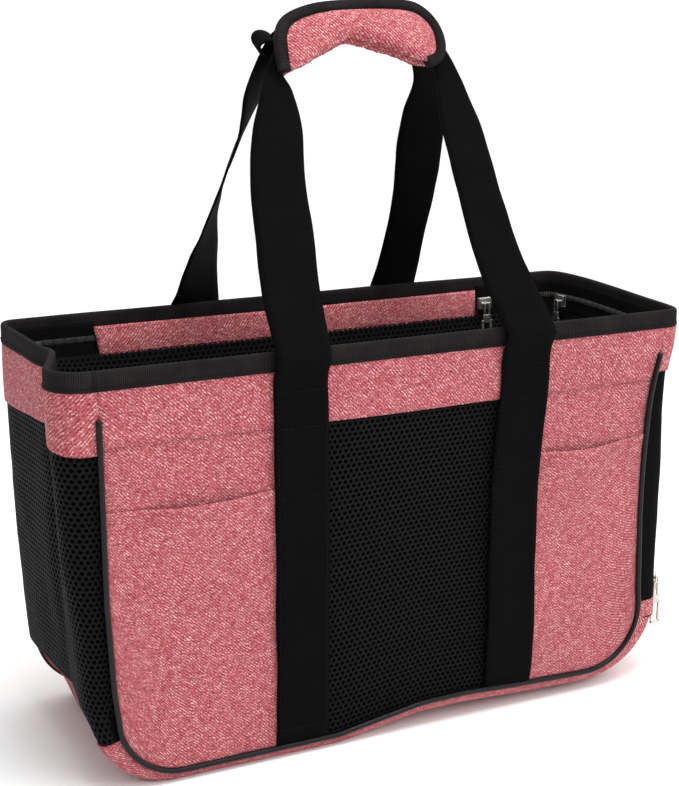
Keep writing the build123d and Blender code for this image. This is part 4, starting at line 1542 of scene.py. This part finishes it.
def build_mat():
    """The removable padded mat on the base board."""
    low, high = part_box("base_mat")
    bm = bmesh.new()
    size = (high.x - low.x - 0.008, high.y - low.y - 0.014, (high.z - low.z) * 0.62)
    box_mesh(bm, size, (low + high) / 2 + Vector((0, 0, 0.005)), 0.0025)
    data = bpy.data.meshes.new("base_mat_pad")
    bm.to_mesh(data)
    bm.free()
    piece = show("base_mat_pad", data, MAT["mat"])
    swell(piece, 0.006, 2.0, 0.0018, 12)
    finish_pad(piece, Vector((1, 0, 0)), Vector((0, 1, 0)))
    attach(piece, "root")
    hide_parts("base_mat")


def build_board():
    """The bendy base board, which lies on the sole."""
    low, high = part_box("base_board")

    def place(s, t):
        x, y = lerp(low.x + 0.014, high.x - 0.014, s), lerp(low.y + 0.008, high.y - 0.008, t)
        w = min(max((ARC + x - LEFT_CENTRE.x) / UNDER, 0.0), 1.0)
        p = under_point(w, gusset_v(y))
        return Vector((x, y, p.z + 0.0026))

    size = (high.x - low.x, high.y - low.y)
    cloth_patch("base_board_sheet", place, 60, 30, size, "board", "root", ["base_board"], 0.0024)


# ------------------------------------------------------------------ studio
FLOOR_REACH = 30.0
ROOM_LEVEL = 1.03           # the room's brightness in the middle, and how much more it has at the right
ROOM_SLOPE = 0.76
CAMERA_PLACE = (-0.5428, -1.0286, 0.5023)
CAMERA_AZIMUTH = -27.4
CAMERA_ELEVATION = 13.58
CAMERA_LENS = 77.86


def build_studio():
    """A pale floor, three soft lights and a white room that is brighter on the right."""
    floor = bpy.data.meshes.new("floor")
    corners = [(x * FLOOR_REACH, y * FLOOR_REACH, 0) for x, y in ((-1, -1), (1, -1), (1, 1), (-1, 1))]
    floor.from_pydata(corners, [], [(0, 1, 2, 3)])
    show("floor", floor, floor_material())
    for name, place, size, watts in (
        ("key", (0.2, -2.4, 2.2), 2.0, 7),
        ("fill", (2.2, -1.2, 1.4), 1.8, 5),
        ("top", (0.0, -0.3, 1.5), 0.8, 15),
    ):
        light = bpy.data.lights.new(name, "AREA")
        light.energy = watts
        light.size = size
        lamp = bpy.data.objects.new(name, light)
        lamp.location = place
        aim = Vector((0, 0, 0.2)) - Vector(place)
        lamp.rotation_euler = aim.to_track_quat("-Z", "Y").to_euler()
        bpy.context.scene.collection.objects.link(lamp)
    world = bpy.data.worlds.new("studio")
    world.use_nodes = True
    background = world.node_tree.nodes["Background"]
    background.inputs[0].default_value = (1, 1, 1, 1)
    place = world.node_tree.nodes.new("ShaderNodeTexCoord")
    split = world.node_tree.nodes.new("ShaderNodeSeparateXYZ")
    level = world.node_tree.nodes.new("ShaderNodeMath")
    level.operation = "MULTIPLY_ADD"
    level.inputs[1].default_value = ROOM_SLOPE
    level.inputs[2].default_value = ROOM_LEVEL
    world.node_tree.links.new(place.outputs["Generated"], split.inputs[0])
    world.node_tree.links.new(split.outputs[0], level.inputs[0])
    world.node_tree.links.new(level.outputs[0], background.inputs[1])
    bpy.context.scene.world = world


def build_camera():
    """Front left, slightly above, standing about 1.3 m away."""
    camera = bpy.data.cameras.new("camera")
    camera.sensor_width = 36
    camera.lens = CAMERA_LENS
    camera.clip_start = 0.01
    view = bpy.data.objects.new("camera", camera)
    azimuth, elevation = math.radians(CAMERA_AZIMUTH), math.radians(CAMERA_ELEVATION)
    view.location = CAMERA_PLACE
    back = Vector((
        math.sin(azimuth) * math.cos(elevation),
        -math.cos(azimuth) * math.cos(elevation),
        math.sin(elevation),
    ))
    view.rotation_euler = back.to_track_quat("Z", "Y").to_euler()
    bpy.context.scene.collection.objects.link(view)
    bpy.context.scene.camera = view


build_wall(-1, "front")
build_wall(1, "back")
build_left_end()
build_right_end()
build_sole()
build_rim()
build_lid()
build_sliders()
build_loop("front", -1, FRONT_LOOP)
build_loop("back", 1, twisted_rows() + BACK_LOOP)
build_fold()
build_grip()
build_board()
build_mat()
build_studio()
build_camera()

bpy.context.scene.view_settings.view_transform = "Standard"
